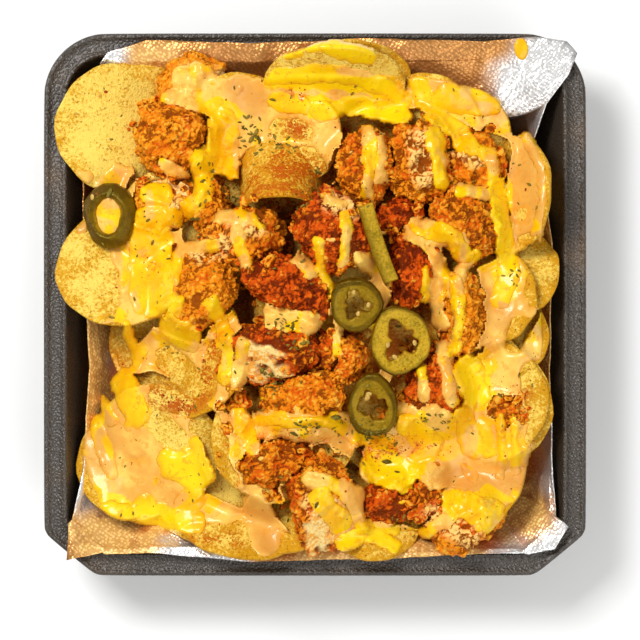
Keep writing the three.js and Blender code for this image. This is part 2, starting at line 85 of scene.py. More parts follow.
bl_info = {
    "name": "Loaded nachos",
    "version": (1, 0, 0),
    "blender": (4, 5, 0),
    "location": "3D view, sidebar, Nachos",
    "description": "Builds a foil-lined tray of loaded nachos piece by piece",
    "category": "Object",
}

MM = 0.001
ANY_TURN = (0, 6.3)  # of small things that lie any way round, radians


def shade(red, green, blue):
    """Linear colour of a red, green and blue that run from 0 to 255."""
    parts = (red / 255, green / 255, blue / 255)
    return (*(c / 12.92 if c <= 0.04045 else ((c + 0.055) / 1.055) ** 2.4 for c in parts), 1.0)


def length(name, description, default):
    return FloatProperty(name=name, description=description, default=default, unit="LENGTH")


def colour(name, description, default):
    return FloatVectorProperty(
        name=name, description=description, default=default, size=4, min=0, max=1, subtype="COLOR"
    )


# ---- Settings -----------------------------------------------------------------------------------


class TraySettings(PropertyGroup):
    half_width: length("Half width", "Half of the tray's width over its rim", CAD_BOX[1][0])
    rear_radius: length("Rear corner radius", "Radius of the two rear corners in plan", 0.027)
    clip_along: length("Clip along", "How much of the front edge each slanted corner takes", 0.022)
    clip_deep: length("Clip deep", "How much of each side a slanted front corner takes", 0.018)
    foam: colour("Foam", "Colour of the foam", shade(58, 49, 39))
    foam_worn: colour("Foam, brown", "Warmer patches of the foam", shade(98, 74, 46))


class FoilSettings(PropertyGroup):
    crease: length("Crease", "Height of the foil's soft crumples", 0.0009)
    emboss: length("Emboss", "Distance between the foil's embossed pebbles", 0.0014)
    metal: colour("Metal", "Colour of the clean foil", shade(238, 236, 234))
    # Partly painted reflection: besides grease, the warm colour near the food stands in for the food that the
    # foil reflects.
    greasy: colour("Greasy metal", "Colour of the foil close to the food", shade(222, 158, 88))
    # Partly painted shade: besides the grease that gathers there, the pebbles' hollows are darkened.
    hollow: colour("Greasy hollows", "Grease that gathers between the pebbles", shade(150, 92, 40))
    film: colour("Sauce film", "Thin sauce that has run over the foil", shade(255, 212, 124))
    # Partly painted shade: the sauce film is darkened in the pebbles' hollows.
    film_hollow: colour("Filmed hollows", "The same between the pebbles", shade(184, 122, 52))


class ChipSettings(PropertyGroup):
    thickness: length("Thickness", "Thickness of a chip", 0.0019)
    fillers: IntProperty(name="Hidden chips", description="Chips below those on top", default=46, min=0)
    corn: colour("Corn", "Main colour of a chip", shade(254, 218, 98))
    gold: colour("Golden corn", "Better fried patches of a chip", shade(216, 154, 18))
    spice: colour("Spice", "Seasoning on a chip", shade(192, 78, 2))
    fleck: colour("Fleck", "Small dark flecks of a chip", shade(160, 92, 12))
    # Partly painted shade: besides soaked-in sauce, this stain is strongest low in the heap, where shade
    # falls.
    stain: colour("Stain", "Sauce and red oil that soaked in", shade(196, 96, 14))
    # Painted shade: chips deep in the open gaps are darkened to this colour.
    deep: colour("Deep stain", "The same, deep in the gaps", shade(116, 46, 8))


class ChickenSettings(PropertyGroup):
    pitch: length("Pitch", "Distance between the crust's mesh points", 0.00064)
    lump: length("Lump", "Height of the crust's crags", 0.0023)
    crumb: length("Crumb", "Height of the crust's crumbs", 0.00115)
    bits: IntProperty(name="Bits", description="Bits of crust round the chicken", default=760, min=0)
    bit: length("Bit", "Half-length of a usual bit", 0.00115)
    golden: colour("Golden crust", "Lightest crust", shade(255, 150, 16))
    red: colour("Red crust", "Darker, spiced crust", shade(226, 86, 6))
    # Partly painted shade: the crust's own darker hollows, with the shade in them painted in as well.
    deep: colour("Deep crust", "Hollows between the crumbs", shade(112, 24, 0))
    # Partly painted highlight: the lightest crumbs also stand in for highlights.
    tip: colour("Crumb tips", "Lightest crumbs of the crust", shade(255, 192, 62))
    coat: colour("Pale coat", "Crust under a thin pale coat", shade(255, 212, 122))
    meat: colour("Meat", "White meat where a piece is torn", shade(255, 224, 146))
    fibre: colour("Meat fibres", "Darker fibres of the meat", shade(244, 172, 70))


class JalapenoSettings(PropertyGroup):
    pitch: length("Pitch", "Distance between the slices' mesh points", 0.00042)
    skin: colour("Skin", "Glossy skin of a slice", shade(80, 54, 0))
    skin_pale: colour("Skin, pale", "Paler patches of the skin", shade(104, 76, 2))
    flesh: colour("Flesh", "Pale flesh of a slice", shade(198, 156, 36))
    flesh_dark: colour("Flesh, dark", "Darker fibres of the flesh", shade(126, 100, 4))
    heart: colour("Heart", "Flesh round the opening", shade(150, 84, 6))
    seed: colour("Seed", "Seeds", shade(222, 190, 96))
    seed_dark: colour("Seed, dark", "Darker patches of the seeds", shade(176, 130, 46))


class SauceSettings(PropertyGroup):
    pitch: length("Pitch", "Distance between the sauces' mesh points", 0.00066)
    peach_depth: length("Peach depth", "Thickness of the peach sauce", 0.0013)
    cheese_depth: length("Cheese depth", "Thickness of the cheese sauce over it", 0.0012)
    peach: colour("Peach", "Main colour of the peach sauce", shade(238, 168, 70))
    peach_light: colour("Light peach", "Thin, lighter peach sauce", shade(254, 203, 94))
    # Painted shade: browner peach where the sauce lies in shadow.
    tan: colour("Tan", "Browner peach sauce", shade(206, 142, 62))
    cheese: colour("Cheese", "Main colour of the cheese sauce", shade(248, 178, 0))
    cheese_light: colour("Light cheese", "Lighter cheese sauce", shade(255, 206, 12))
    # Painted light: the cheese is lightened where it should look brightly lit.
    cheese_bright: colour("Bright cheese", "The brightest cheese sauce", shade(255, 217, 8))
    thin: colour("Thin sauce", "Sauce at its thin edge", shade(240, 160, 30))
    streak: colour("Streak", "Darker streaks in the sauce", shade(222, 132, 30))
    speck: colour("Speck", "Small dark specks in the sauce", shade(120, 62, 10))
    spice: colour("Spice", "Seasoning that has sunk into the sauce", shade(216, 98, 12))


class SeasoningSettings(PropertyGroup):
    herb_size: length("Herb size", "Length of a usual herb flake", 0.0016)
    herbs: IntProperty(name="Herb flakes", description="How many herb flakes", default=520, min=0)
    grains: IntProperty(name="Grains", description="How many grains of red seasoning", default=900, min=0)
    grain: length("Grain size", "Length of a usual grain of red seasoning", 0.0006)
    herb: colour("Herb", "Herb flakes", shade(146, 126, 44))
    herb_dark: colour("Herb, dark", "Darker herb flakes", shade(84, 74, 14))
    spice: colour("Spice", "Red seasoning", shade(196, 74, 8))
    spice_dark: colour("Spice, dark", "Darker red seasoning", shade(112, 34, 8))


class StageSettings(PropertyGroup):
    camera_height: length("Camera height", "Height of the camera over the floor", 1.2)
    view_width: length("View width", "Width of the view at the height of the tray's rim", 0.2688)
    view_x: length("View middle X", "Where the middle of the view lies", 0.0021)
    view_y: length("View middle Y", "Where the middle of the view lies", -0.0065)
    sky: FloatProperty(name="Sky", description="Strength of the light from all round", default=0.42)
    floor: colour("Floor", "Plain pale floor", shade(250, 250, 249))
    floor_dark: colour("Floor, dark", "Its faint darker patches", shade(236, 236, 235))


# ---- The plan of the heap -----------------------------------------------------------------------

HEAP_EDGE = 29.0  # height of the bed of chips at the walls, mm
HEAP_TOP = 43.0  # and in the middle
HEAP_REACH = 98.0  # distance from the middle at which it is back to HEAP_EDGE


def heap_height(x, y):
    share = np.maximum(0, 1 - (x * x + y * y) / HEAP_REACH**2)
    return HEAP_EDGE + (HEAP_TOP - HEAP_EDGE) * share


# Chips that show: x, y, height over the bed, diameter, lean, bearing that the top looks to, and curl as
# the angle of its arc.
CHIPS = [
    (-82, 74, 11, 55, 17, -20, 25),
    (-82, 15, 12, 54, 26, 80, 30),
    (-66, -17, 5, 48, 24, 200, 35),
    (-51, -21, 7, 54, 46, 170, 60),
    (-67, -60, 12, 56, 22, 215, 35),
    (-76, -67, 5, 50, 14, 60, 30),
    (8, 87, 19, 60, 50, 270, 30),
    (14, 90, 14, 54, 44, 268, 25),
    (47, 75, 11, 46, 26, 230, 40),
    (61, 71, 9, 44, 24, 250, 30),
    (-32, 76, 9, 44, 18, 270, 25),
    (-14, 62, 14, 56, 48, 90, 190),
    (-10, 71, 11, 44, 26, 205, 40),
    (82, 46, 12, 50, 60, 178, 45),
    (81, 13, 8, 44, 38, 130, 70),
    (74, 2, 9, 42, 44, 160, 60),
    (79, -14, 7, 40, 34, 150, 50),
    (72, -40, 13, 52, 20, 185, 35),
    (-33, -83, 8, 54, 34, 80, 30),
    (-21, -58, 8, 52, 44, 25, 40),
    (-6, -53, 7, 48, 14, 100, 25),
    (-12, -88, 11, 36, 34, 120, 60),
    (24, -87, 10, 44, 24, 70, 30),
    (66, -30, 10, 46, 14, 200, 30),
    (50, -61, 8, 54, 12, 290, 25),
    (65, -71, 9, 48, 26, 135, 35),
    (-45, -78, 8, 46, 18, 120, 25),
    (74, -42, 9, 53, 22, 180, 35),
    (-27, -86, 7, 52, 38, 78, 30),
    (-7, -6, 7, 40, 18, 230, 30),
    (13, 10, 5, 40, 10, 100, 30),
    (62, 2, 8, 46, 30, 145, 50),
    (-60, 36, 5, 44, 16, 10, 30),
    (-66, 88, 7, 42, 20, 320, 30),
]
# How deep a gold the chips are fried to, from 0 to 1, by their number in the list.
TOASTED = {
    0: 0.05, 1: 0.25, 2: 0.4, 3: 0.7, 6: 0.1, 11: 0.8, 13: 0.35, 14: 0.45, 15: 0.5, 16: 0.5, 18: 0.5, 21: 0.7,
    22: 0.5, 28: 0.6,
}
USUAL_TOAST = (0.1, 0.5)  # of those that aren't in it
CHIP_RIPPLE = 1.3  # how far a chip's edge waves up and down, mm
RUFFLED = {14: 1.5, 15: 1.7, 16: 1.2, 24: 1.0}  # the same in close ruffles, of the chips that have them
FILLER_REACH = 74  # distance from the middle within which the hidden chips' middles lie, mm

# Chicken with a torn face: number, x, y, half-lengths in plan, turn, height over the bed and bearing
# of the torn face.
TORN_CHICKEN = {
    1: (-51, 92, 14, 12, 30, 11, -40),
    3: (-63, 43, 12, 10, 10, 10, 80),
    14: (-18, -19, 17, 13, 10, 15, 240),
    18: (5, -84, 18, 14, 110, 16, 300),
}
TORN_AT = 0.66  # share of a half-length beyond which a torn piece shows its meat
# How red the crust of each piece is, from 0 for golden to 1 for dark red.
CRUST_TONES = {
    1: 0.1, 2: 0.3, 3: 0.1, 4: 0.3, 5: 0.2, 6: 0.4, 7: 0.45, 8: 0.35, 9: 0.3, 10: 0.8, 11: 0.85,
    12: 0.4, 13: 0.9, 14: 0.75, 15: 0.35, 16: 0.45, 17: 0.7, 18: 0.45, 19: 0.45, 20: 0.7, 21: 0.55,
    22: 0.35, 23: 0.5, 24: 0.5, 25: 0.35, 26: 0.9, 27: 0.05, 28: 0.6, 29: 0.4,
}

# Where the crust is coated pale.
PALE_CRUSTS = [
    (5.5, (43, 67), (45, 54)),
    (5, (-47, 22), (-40, 24)),
    (4, (-60, 40), (-64, 47)),
    (3.5, (58, 66), (66, 60)),
    (4, (-24, 32), (-32, 33)),
    (4, (14, 38), (6, 42)),
    (5, (0, -82), (8, -94)),
    (5, (50, -88), (64, -96)),
    (4, (-44, 92), (-52, 96)),
]

# Jalapeno slices: x, y, radius across and along, height over the bed, lean, bearing the top looks to.
JALAPENOS = [
    (-86, 37, 11.5, 14, 18.5, 14, 200),
    (17, 0, 11, 11.5, 19, 16, 250),
    (35, -15, 12.5, 14.5, 20.5, 10, 320),
    (24, -42, 10.5, 13.5, 18, 14, 230),
]
STRIP_NODE = "jalapeno_strip"

# Where the cheese sauce was poured: radius of the pour, then the way of its middle, mm.
CHEESE_POURS = [
    (9.5, (-69, 28), (-67, 4)),
    (5.5, (-67, 46), (-63, 45)),
    (3.5, (-74, 37), (-58, 36)),
    (4.5, (-47, 59), (-46, 47), (-51, 40)),
    (6.5, (-38, 76), (-38, 62)),
    (5, (-45, 61), (-34, 57)),
    (3.5, (-18, 94), (10, 95), (28, 91), (37, 85)),
    (4.5, (2, 80), (20, 83), (36, 79)),
    (4, (-18, 104), (0, 106), (22, 102)),
    (4, (-15, 84), (-5, 82)),
    (4.5, (43, 92), (46, 85), (60, 84), (74, 83)),
    (4.5, (50, 78), (60, 72), (64, 66)),
    (3.8, (50, 70), (52, 60), (52, 50)),
    (3, (60, 66), (73, 62), (76, 50)),
    (4.2, (76, 50), (78, 32), (81, 14), (77, 2)),
    (4, (42, 33), (56, 28), (62, 20)),
    (2.2, (88, 70), (94, 56), (93, 40), (92, 28)),
    (2.6, (22, 72), (22, 45)),
    (2.4, (12, 36), (13, 30), (12, 17)),
    (2, (1, 26), (2, 15)),
    (2, (46, 14), (46, 2)),
    (2.4, (3, 14), (8, 4)),
    (6, (-60, -10), (-53, -14)),
    (2.4, (-78, -8), (-75, -25)),
    (3.6, (-42, 0), (-38, -12), (-37, -30)),
    (6, (-80, -33), (-74, -46)),
    (8.5, (-58, -66), (-50, -70)),
    (4, (-49, -58), (-46, -66)),
    (5, (-50, -80), (-56, -87)),
    (7, (-70, -88), (-58, -93)),
    (4.5, (-86, -86), (-79, -88)),
    (3.6, (-92, -50), (-86, -70)),
    (4, (-31, -47), (-26, -59)),
    (2.4, (-24, -48), (-5, -49), (8, -48)),
    (7.5, (26, -68), (36, -71)),
    (5, (38, -50), (50, -58), (44, -66)),
    (6.5, (64, -27), (67, -37)),
    (4.6, (62, -46), (66, -61)),
    (2.2, (77, -47), (78, -72)),
    (2, (83, -48), (84, -70)),
    (2.2, (88, -52), (88, -66)),
    (3, (70, -50), (72, -62)),
    (5.5, (58, -82), (74, -86)),
    (2.8, (46, -96), (60, -86), (72, -92)),
    (3.4, (12, -99), (22, -95), (34, -101)),
    (5, (2, -80), (10, -90)),
    (3, (8, -50), (18, -56), (30, -56)),
    (2.5, (58, 10), (60, -6), (57, -20)),
]
# The same for the peach sauce, over chicken. Over chips it lies all round.
PEACH_POURS = [
    (4, (-50, 97), (-41, 92), (-38, 82)),
    (5.5, (-54, 94), (-50, 90)),
    (3.5, (-60, 86), (-42, 83)),
    (3, (-62, 58), (-55, 55)),
    (3, (-58, 10), (-55, 24), (-42, 24)),
    (3, (-57, 2), (-58, -4)),
    (3.6, (-38, 36), (-28, 37), (-22, 34)),
    (3, (-32, 30), (-30, 22), (-29, 17)),
    (4.6, (-20, -5), (-2, -8)),
    (3, (-30, -16), (-31, -32)),
    (2.6, (44, -26), (45, -38)),
    (3, (53, -18), (57, -40)),
    (3.6, (-2, -72), (14, -76), (17, -88)),
    (5, (50, -72), (62, -74), (76, -78)),
    (3, (60, 47), (72, 46)),
    (2, (9, -8), (10, -20)),
    (7, (30, -46), (38, -48)),
    (2, (5, 43), (12, 41)),
    (2.6, (26, 68), (27, 52)),
    (6, (-22, -50), (8, -52)),
    (7, (8, -52), (50, -50)),
    (5, (34, -60), (48, -70)),
    (4, (40, 30), (60, 26)),
    (3.5, (50, 8), (52, -8)),
    (5, (48, -46), (60, -52)),
    (4, (20, 18), (28, 12)),
    (3.2, (40, 26), (50, 20), (56, 6)),
    (3, (66, 20), (60, 12)),
    (2.8, (17, -77), (19, -92), (34, -94)),
    (3.4, (-8, 20), (-2, 14)),
]
# Where all the sauce is peach, and where it is all cheese: first the places where the cheese is lightened
# with painted light.
PEACH_ONLY = [
    (8, (90, 58), (86, 30)),
    (6, (66, 4), (76, -4)),
    (9, (-84, -58), (-78, -72)),
    (7, (-32, 92), (-26, 86)),
    (5, (76, -70), (86, -76)),
    (4, (80, -20), (84, -30)),
    (5, (-66, 14), (-76, 2)),
    (4, (-10, 98), (20, 96)),
    (5, (-30, 60), (-32, 74)),
    (6, (-24, -84), (-20, -98)),
    (5, (50, -72), (62, -74)),
    (5, (0, 72), (10, 64)),
]
# Places where the cheese gets painted light.
BRIGHT_CHEESE = [
    (5, (-18, 104), (22, 102)),
    (3, (-18, 94), (30, 90)),
    (4, (0, 82), (34, 78)),
    (5, (64, -26), (68, -38)),
    (6, (-58, -66), (-48, -72)),
    (5, (-84, -84), (-80, -90)),
    (5, (-74, -90), (-58, -92)),
    (6, (28, -66), (36, -72)),
    (4, (77, 48), (79, 6)),
    (4, (14, -97), (34, -98)),
]
CHEESE_ONLY = [
    *BRIGHT_CHEESE,
    (7, (-40, 78), (-44, 54)),
    (6, (-68, 28), (-64, -2)),
    (4, (44, -56), (56, -60)),
]
# Where the peach sauce is browner: painted shade, where it lies in shadow or tilts away from the light.
TANNED = [
    (8, (86, -70), (87, -87)),
    (8, (90, 58), (86, 30)),
    (6, (66, 4), (76, -4)),
    (7, (-94, -44), (-92, -66)),
    (6, (-32, 90), (-26, 84)),
    (5, (-24, -86), (-18, -100)),
    (5, (54, -70), (76, -78)),
    (4, (-101, 44), (-99, 30)),
]
# Pools, which also lie on the foil.
PEACH_POOLS = [
    (7.5, (-92, -46), (-91, -60), (-88, -72)),
    (8, (-84, -74), (-82, -84)),
    (6.5, (-24, -84), (-20, -98)),
    (6.5, (-31, 91), (-28, 84)),
    (6, (-66, -76), (-80, -74)),
    (3, (-96, -54), (-95, -64)),
    (4.5, (-97, 52), (-98, 34)),
    (6, (86, -65), (94, -69)),
    (3.5, (90, -60), (96, -64)),
    (5.5, (85, -79), (87, -86)),
]
CHEESE_POOLS = [
    (5.2, (-85, -87), (-80, -91)),
    (6.8, (-71, -86), (-66, -92)),
    (5, (-56, -91), (-50, -91)),
    (3.4, (53, 88), (76, 89)),
    (3.5, (-90, -42), (-86, -48)),
    (3, (90, -76), (84, -80)),
]
# Gaps that stay open: the chips below lie deeper there, and the chips deep in them get painted shade.
DARK_GAPS = [
    (5, (-29, 4), (-25, -8)),
    (4.5, (-17, 27), (-11, 23)),
    (5.5, (-45, -48), (-40, -60)),
    (4, (-40, -60), (-33, -73)),
    (3, (4, -13), (5, -17)),
    (5, (-20, 37), (-12, 36)),
    (4.5, (34, 22), (42, 20)),
    (3.5, (33, 48), (34, 43)),
]
GAP_DEPTH = 11.0  # how much deeper, mm
# Places without sauce.
BARE_PATCHES = [
    (14, (-98, 84), (-99, 64)),
    (8, (-80, 92), (-79, 66)),
    (12, (-98, 22), (-93, 4)),
    (3.5, (-84, -12), (-80, -24)),
    (5, (-62, -22), (-52, -31)),
    (5.5, (-64, -50), (-57, -58)),
    (7, (-50, -98), (-25, -98)),
    (4, (24, 108), (34, 98)),
    (5, (90, -28), (94, -44), (90, -56)),
    (6, (90, 24), (96, 14), (92, 6)),
    (4, (86, -8), (82, -16)),
    (3, (-11, -86), (-5, -96)),
    (4, (-15, 74), (-5, 72)),
    (12, (-21, 55), (-7, 54)),
    (7, (-24, 44), (-6, 44)),
    (4, (-41, -20), (-46, -38)),
    (5.5, (-64, -39), (-50, -42)),
    (4, (1, -18), (5, -30)),
    (5, (-47, -50), (-42, -58)),
]
# Places that carry much red seasoning.
SPICED = [
    (9, (-12, 58), (0, 50)),
    (6, (-27, 52), (-26, 46)),
    (5, (-20, 46), (-4, 44)),
    (4, (-42, -14), (-47, -38)),
    (4, (-10, 74), (-4, 72)),
    (3, (-69, 18), (-67, 14)),
    (5, (20, -61), (38, -60)),
    (4, (-24, -56), (2, -57)),
    (3, (42, -58), (54, -60)),
    (5, (-66, -38), (-52, -43)),
    (2.5, (-50, -98), (-30, -98)),
    (4, (60, 0), (64, -12)),
    (4, (80, -38), (86, -37)),
    (3, (-10, 88), (-4, 84)),
]
# Clusters of herb flakes.
HERB_PLACES = [
    (5, (-44, 58), (-40, 53)),
    (3, (-35, 49), (-35, 43)),
    (6, (-28, 74), (-24, 66)),
    (5, (-16, 68), (-10, 64)),
    (3, (-50, 33), (-48, 44)),
    (5, (-18, -6), (-2, -14)),
    (4, (-22, -24), (-14, -36)),
    (6, (8, -50), (34, -57)),
    (4, (44, -48), (56, -46)),
    (3, (8, -62), (12, -64)),
    (4, (36, -90), (40, -96)),
    (3, (82, 14), (82, 10)),
    (2, (-61, -17), (-61, -20)),
    (4, (-8, 40), (4, 56)),
    (3, (-10, -50), (0, -51)),
]
# Where the chips below are soaked most. Their stain is partly painted shade, strongest low in the heap.
STAINED = [
    (24, (-34, 8), (14, 4)),
    (20, (20, 60), (58, 40)),
    (18, (26, -24), (56, -10)),
    (13, (-22, -36), (8, -44)),
    (11, (-47, -50), (-42, -68)),
    (12, (-50, 88), (-60, 50)),
    (12, (16, -84), (60, -92)),
]
HEAP_HALF = 97.0  # half of the square, with round corners, that the sauces stay inside, mm
HEAP_CORNER = 5.0  # how square it is


# ---- Work on meshes -----------------------------------------------------------------------------


def deselect():
    """Leaves edit mode and selects nothing."""
    if bpy.context.object and bpy.context.object.mode != "OBJECT":
        bpy.ops.object.mode_set(mode="OBJECT")
    bpy.ops.object.select_all(action="DESELECT")


def new_piece(add, name, **settings):
    """A plain shape, made by the operator and given the name."""
    deselect()
    add(**settings)
    piece = bpy.context.object
    piece.name = name
    return piece


def activate(piece):
    deselect()
    piece.select_set(True)
    bpy.context.view_layer.objects.active = piece


@contextmanager
def editing(piece):
    activate(piece)
    bpy.ops.object.mode_set(mode="EDIT")
    bpy.ops.mesh.select_all(action="DESELECT")
    yield
    bpy.ops.object.mode_set(mode="OBJECT")


def pick(piece, kind, test):
    """Selects, in edit mode, only the verts, edges or faces that pass the test."""
    bpy.ops.mesh.select_mode(type={"verts": "VERT", "edges": "EDGE", "faces": "FACE"}[kind])
    bpy.ops.mesh.select_all(action="DESELECT")
    shape = bmesh.from_edit_mesh(piece.data)
    shape.normal_update()
    for part in getattr(shape, kind):
        if test(part):
            part.select_set(True)
    bmesh.update_edit_mesh(piece.data)


def apply_modifier(piece, kind, **settings):
    activate(piece)
    modifier = piece.modifiers.new(kind.title(), kind)
    for name, value in settings.items():
        setattr(modifier, name, value)
    bpy.ops.object.modifier_apply(modifier=modifier.name)


def copy_piece(source, name):
    """A piece of the same shape with a mesh of its own."""
    piece = bpy.data.objects.new(name, source.data.copy())
    piece.data.materials.clear()
    bpy.context.scene.collection.objects.link(piece)
    return piece


def copy_node(node, name):
    """A copy of a solid of the frame, with its loose triangles merged."""
    piece = copy_piece(frame["nodes"][node], name)
    with editing(piece):
        bpy.ops.mesh.select_all(action="SELECT")
        bpy.ops.mesh.remove_doubles(threshold=1e-6)
    return piece


def even_copy(node, name, pitch, passes):
    """A copy of a solid with an even mesh of the given pitch, smoothed in so many passes."""
    piece = copy_node(node, name)
    apply_modifier(piece, "REMESH", mode="VOXEL", voxel_size=pitch)
    apply_modifier(piece, "SMOOTH", factor=0.5, iterations=passes)
    return piece


def join(pieces, name):
    """Joins the pieces into one, which takes the name."""
    deselect()
    for piece in pieces:
        piece.select_set(True)
    bpy.context.view_layer.objects.active = pieces[0]
    bpy.ops.object.join()
    whole = bpy.context.object
    whole.name = name
    whole.data.name = name
    return whole


def settle(piece):
    """Puts a piece's place into its mesh."""
    activate(piece)
    bpy.ops.object.transform_apply(location=True, rotation=True, scale=True)
    return piece


def discard(piece):
    bpy.data.objects.remove(piece)


def points_of(piece):
    points = np.empty(len(piece.data.vertices) * 3)
    piece.data.vertices.foreach_get("co", points)
    return points.reshape(-1, 3)


def normals_of(piece):
    normals = np.empty(len(piece.data.vertices) * 3, np.float32)
    piece.data.vertex_normals.foreach_get("vector", normals)
    return normals.reshape(-1, 3).astype(float)


def place_points(piece, points):
    piece.data.vertices.foreach_set("co", np.ascontiguousarray(points, np.float32).ravel())
    piece.data.update()


def placed_copy(source, name, points):
    """A copy with its points in other places."""
    piece = copy_piece(source, name)
    place_points(piece, points)
    return piece


def mark(piece, name, values):
    """Keeps a number for each of the piece's points, which its finish reads."""
    attribute = piece.data.attributes.new(name, "FLOAT", "POINT")
    attribute.data.foreach_set("value", np.ascontiguousarray(values, np.float32))


def finish_piece(piece, material, *nodes, slot=None):
    """Smooths, paints and hangs a finished piece, which stands for the given solids of the frame."""
    activate(piece)
    bpy.ops.object.shade_smooth()
    piece.data.materials.clear()
    piece.data.materials.append(material)
    if nodes:
        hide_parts(*nodes)
    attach(piece, "root")
    return piece


def turning(*turns):
    """The matrix of a row of turns, each an angle in radians and an axis, of which the last comes first."""
    whole = Matrix.Identity(3)
    for angle, axis in turns:
        whole = whole @ Matrix.Rotation(angle, 3, axis)
    return np.array(whole)


def ripples(points, spacing, seed):
    """Noise of about -1 to 1 at each of the points, in mm, with bumps of the given spacing."""
    scaled = points / spacing + np.array((seed * 7.31, seed * 3.17, seed * 5.77))
    return np.array([noise.noise(p) for p in scaled.tolist()])


def way_depth(places, ways):
    """How deep inside the widest of the ways, in mm, each place lies; below 0 is outside them all."""
    depth = np.full(len(places), -1e3)
    for radius, *stops in ways:
        for start, end in zip(stops, stops[1:]):
            start = np.array(start, float)
            run = np.array(end, float) - start
            share = np.clip((places - start) @ run / (run @ run), 0, 1)
            gap = np.linalg.norm(places - start - share[:, None] * run, axis=1)
            depth = np.maximum(depth, radius - gap)
    return depth


def smoothstep(values, low, high):
    share = np.clip((values - low) / (high - low), 0, 1)
    return share * share * (3 - 2 * share)


# ---- Work on finishes ---------------------------------------------------------------------------


class Value:
    """A number that varies over a surface. Sums on it add the Math nodes that work them out."""

    def __init__(self, finish, socket):
        self.finish = finish
        self.socket = socket

    def _sum(self, operation, first, second):
        return self.finish.node("Math", {"operation": operation}, {0: first, 1: second})

    def __add__(self, other):
        return self._sum("ADD", self, other)

    __radd__ = __add__

    def __sub__(self, other):
        return self._sum("SUBTRACT", self, other)

    def __rsub__(self, other):
        return self._sum("SUBTRACT", other, self)

    def __mul__(self, other):
        return self._sum("MULTIPLY", self, other)

    __rmul__ = __mul__


class Finish:
    """A material, built round one Principled shader."""

    def __init__(self, name, **even):
        self.material = bpy.data.materials.new(name)
        self.material.use_nodes = True
        self.tree = self.material.node_tree
        self.shader = next(n for n in self.tree.nodes if n.type == "BSDF_PRINCIPLED")
        for socket, value in even.items():
            self.shader.inputs[socket.replace("_", " ")].default_value = value
        self.place = self.node("TexCoord", output=3)

    def node(self, kind, settings=None, inputs=None, output=0):
        """Adds a node: its settings first, then the values or links of its sockets."""
        node = self.tree.nodes.new("ShaderNode" + kind)
        for name, value in (settings or {}).items():
            setattr(node, name, value)
        for name, value in (inputs or {}).items():
            self.feed(node.inputs[name], value)
        return Value(self, node.outputs[output])

    def feed(self, socket, value):
        if isinstance(value, Value):
            self.tree.links.new(value.socket, socket)
        else:
            socket.default_value = value

    def paint(self, socket, value):
        self.feed(self.shader.inputs[socket], value)

    def attribute(self, name):
        return self.node("Attribute", {"attribute_name": name}, output=2)

    def bumps(self, spacing, detail=2.0, roughness=0.5):
        """Noise from 0 to 1 with bumps of the given spacing, in metres."""
        inputs = {"Vector": self.place, "Scale": 1 / spacing, "Detail": detail, "Roughness": roughness}
        return self.node("TexNoise", inputs=inputs)

    def cells(self, spacing, randomness=1.0, turn=(0, 0, 0)):
        """Distance from the middles of cells of the given spacing, in metres."""
        place = self.node("Mapping", inputs={"Vector": self.place, "Rotation": turn})
        inputs = {"Vector": place, "Scale": 1 / spacing, "Randomness": randomness}
        return self.node("TexVoronoi", inputs=inputs)

    def rise(self, value, low, high):
        """Smooth step from 0 at low to 1 at high."""
        settings = {"interpolation_type": "SMOOTHSTEP"}
        return self.node("MapRange", settings, {0: value, 1: low, 2: high, 3: 0.0, 4: 1.0})

    def mix(self, share, first, second):
        """The first colour where the share is 0, the second where it is 1."""
        return self.node("Mix", {"data_type": "RGBA"}, {0: share, 6: first, 7: second}, output=2)

    def relief(self, height, depth, strength):
        """Feeds the shader's normal with bumps whose full height is the depth, in metres."""
        inputs = {"Height": height, "Distance": depth, "Strength": strength}
        self.paint("Normal", self.node("Bump", inputs=inputs))


# ---- Tray ---------------------------------------------------------------------------------------

# Section of the tray, as [how far in from the rim's edge, height], mm.
TRAY_EDGE_LOW = (0, 37.8)
TRAY_EDGE_HIGH = (0, 39.2)
TRAY_TOP = [
    (0.6, 39.8), (1.4, 40), (2.2, 39.6), (3.2, 38.9), (6.6, 38.9), (7.8, 39.6), (8.6, 40), (9.4, 39.7),
    (10, 39), (11.2, 35), (20.4, 6), (21.6, 3.6), (24, 2.6), (26, 2.6),
]
TRAY_BELOW = [(1, 37), (6.5, 36.6), (8.5, 34), (19, 2.5), (20, 0.5), (21.5, 0), (26, 0)]
REAR_STEPS = 10
FRONT_ROUNDING = 0.0034
AT_FRONT = 0.001  # how near to the front edge a corner lies


def set_in(section, start):
    """Sets the selected face in, step by step, to follow a section."""
    before = start
    for step in section:
        bpy.ops.mesh.inset(thickness=(step[0] - before[0]) * MM, depth=0)
        bpy.ops.transform.translate(value=(0, 0, (step[1] - before[1]) * MM))
        before = step


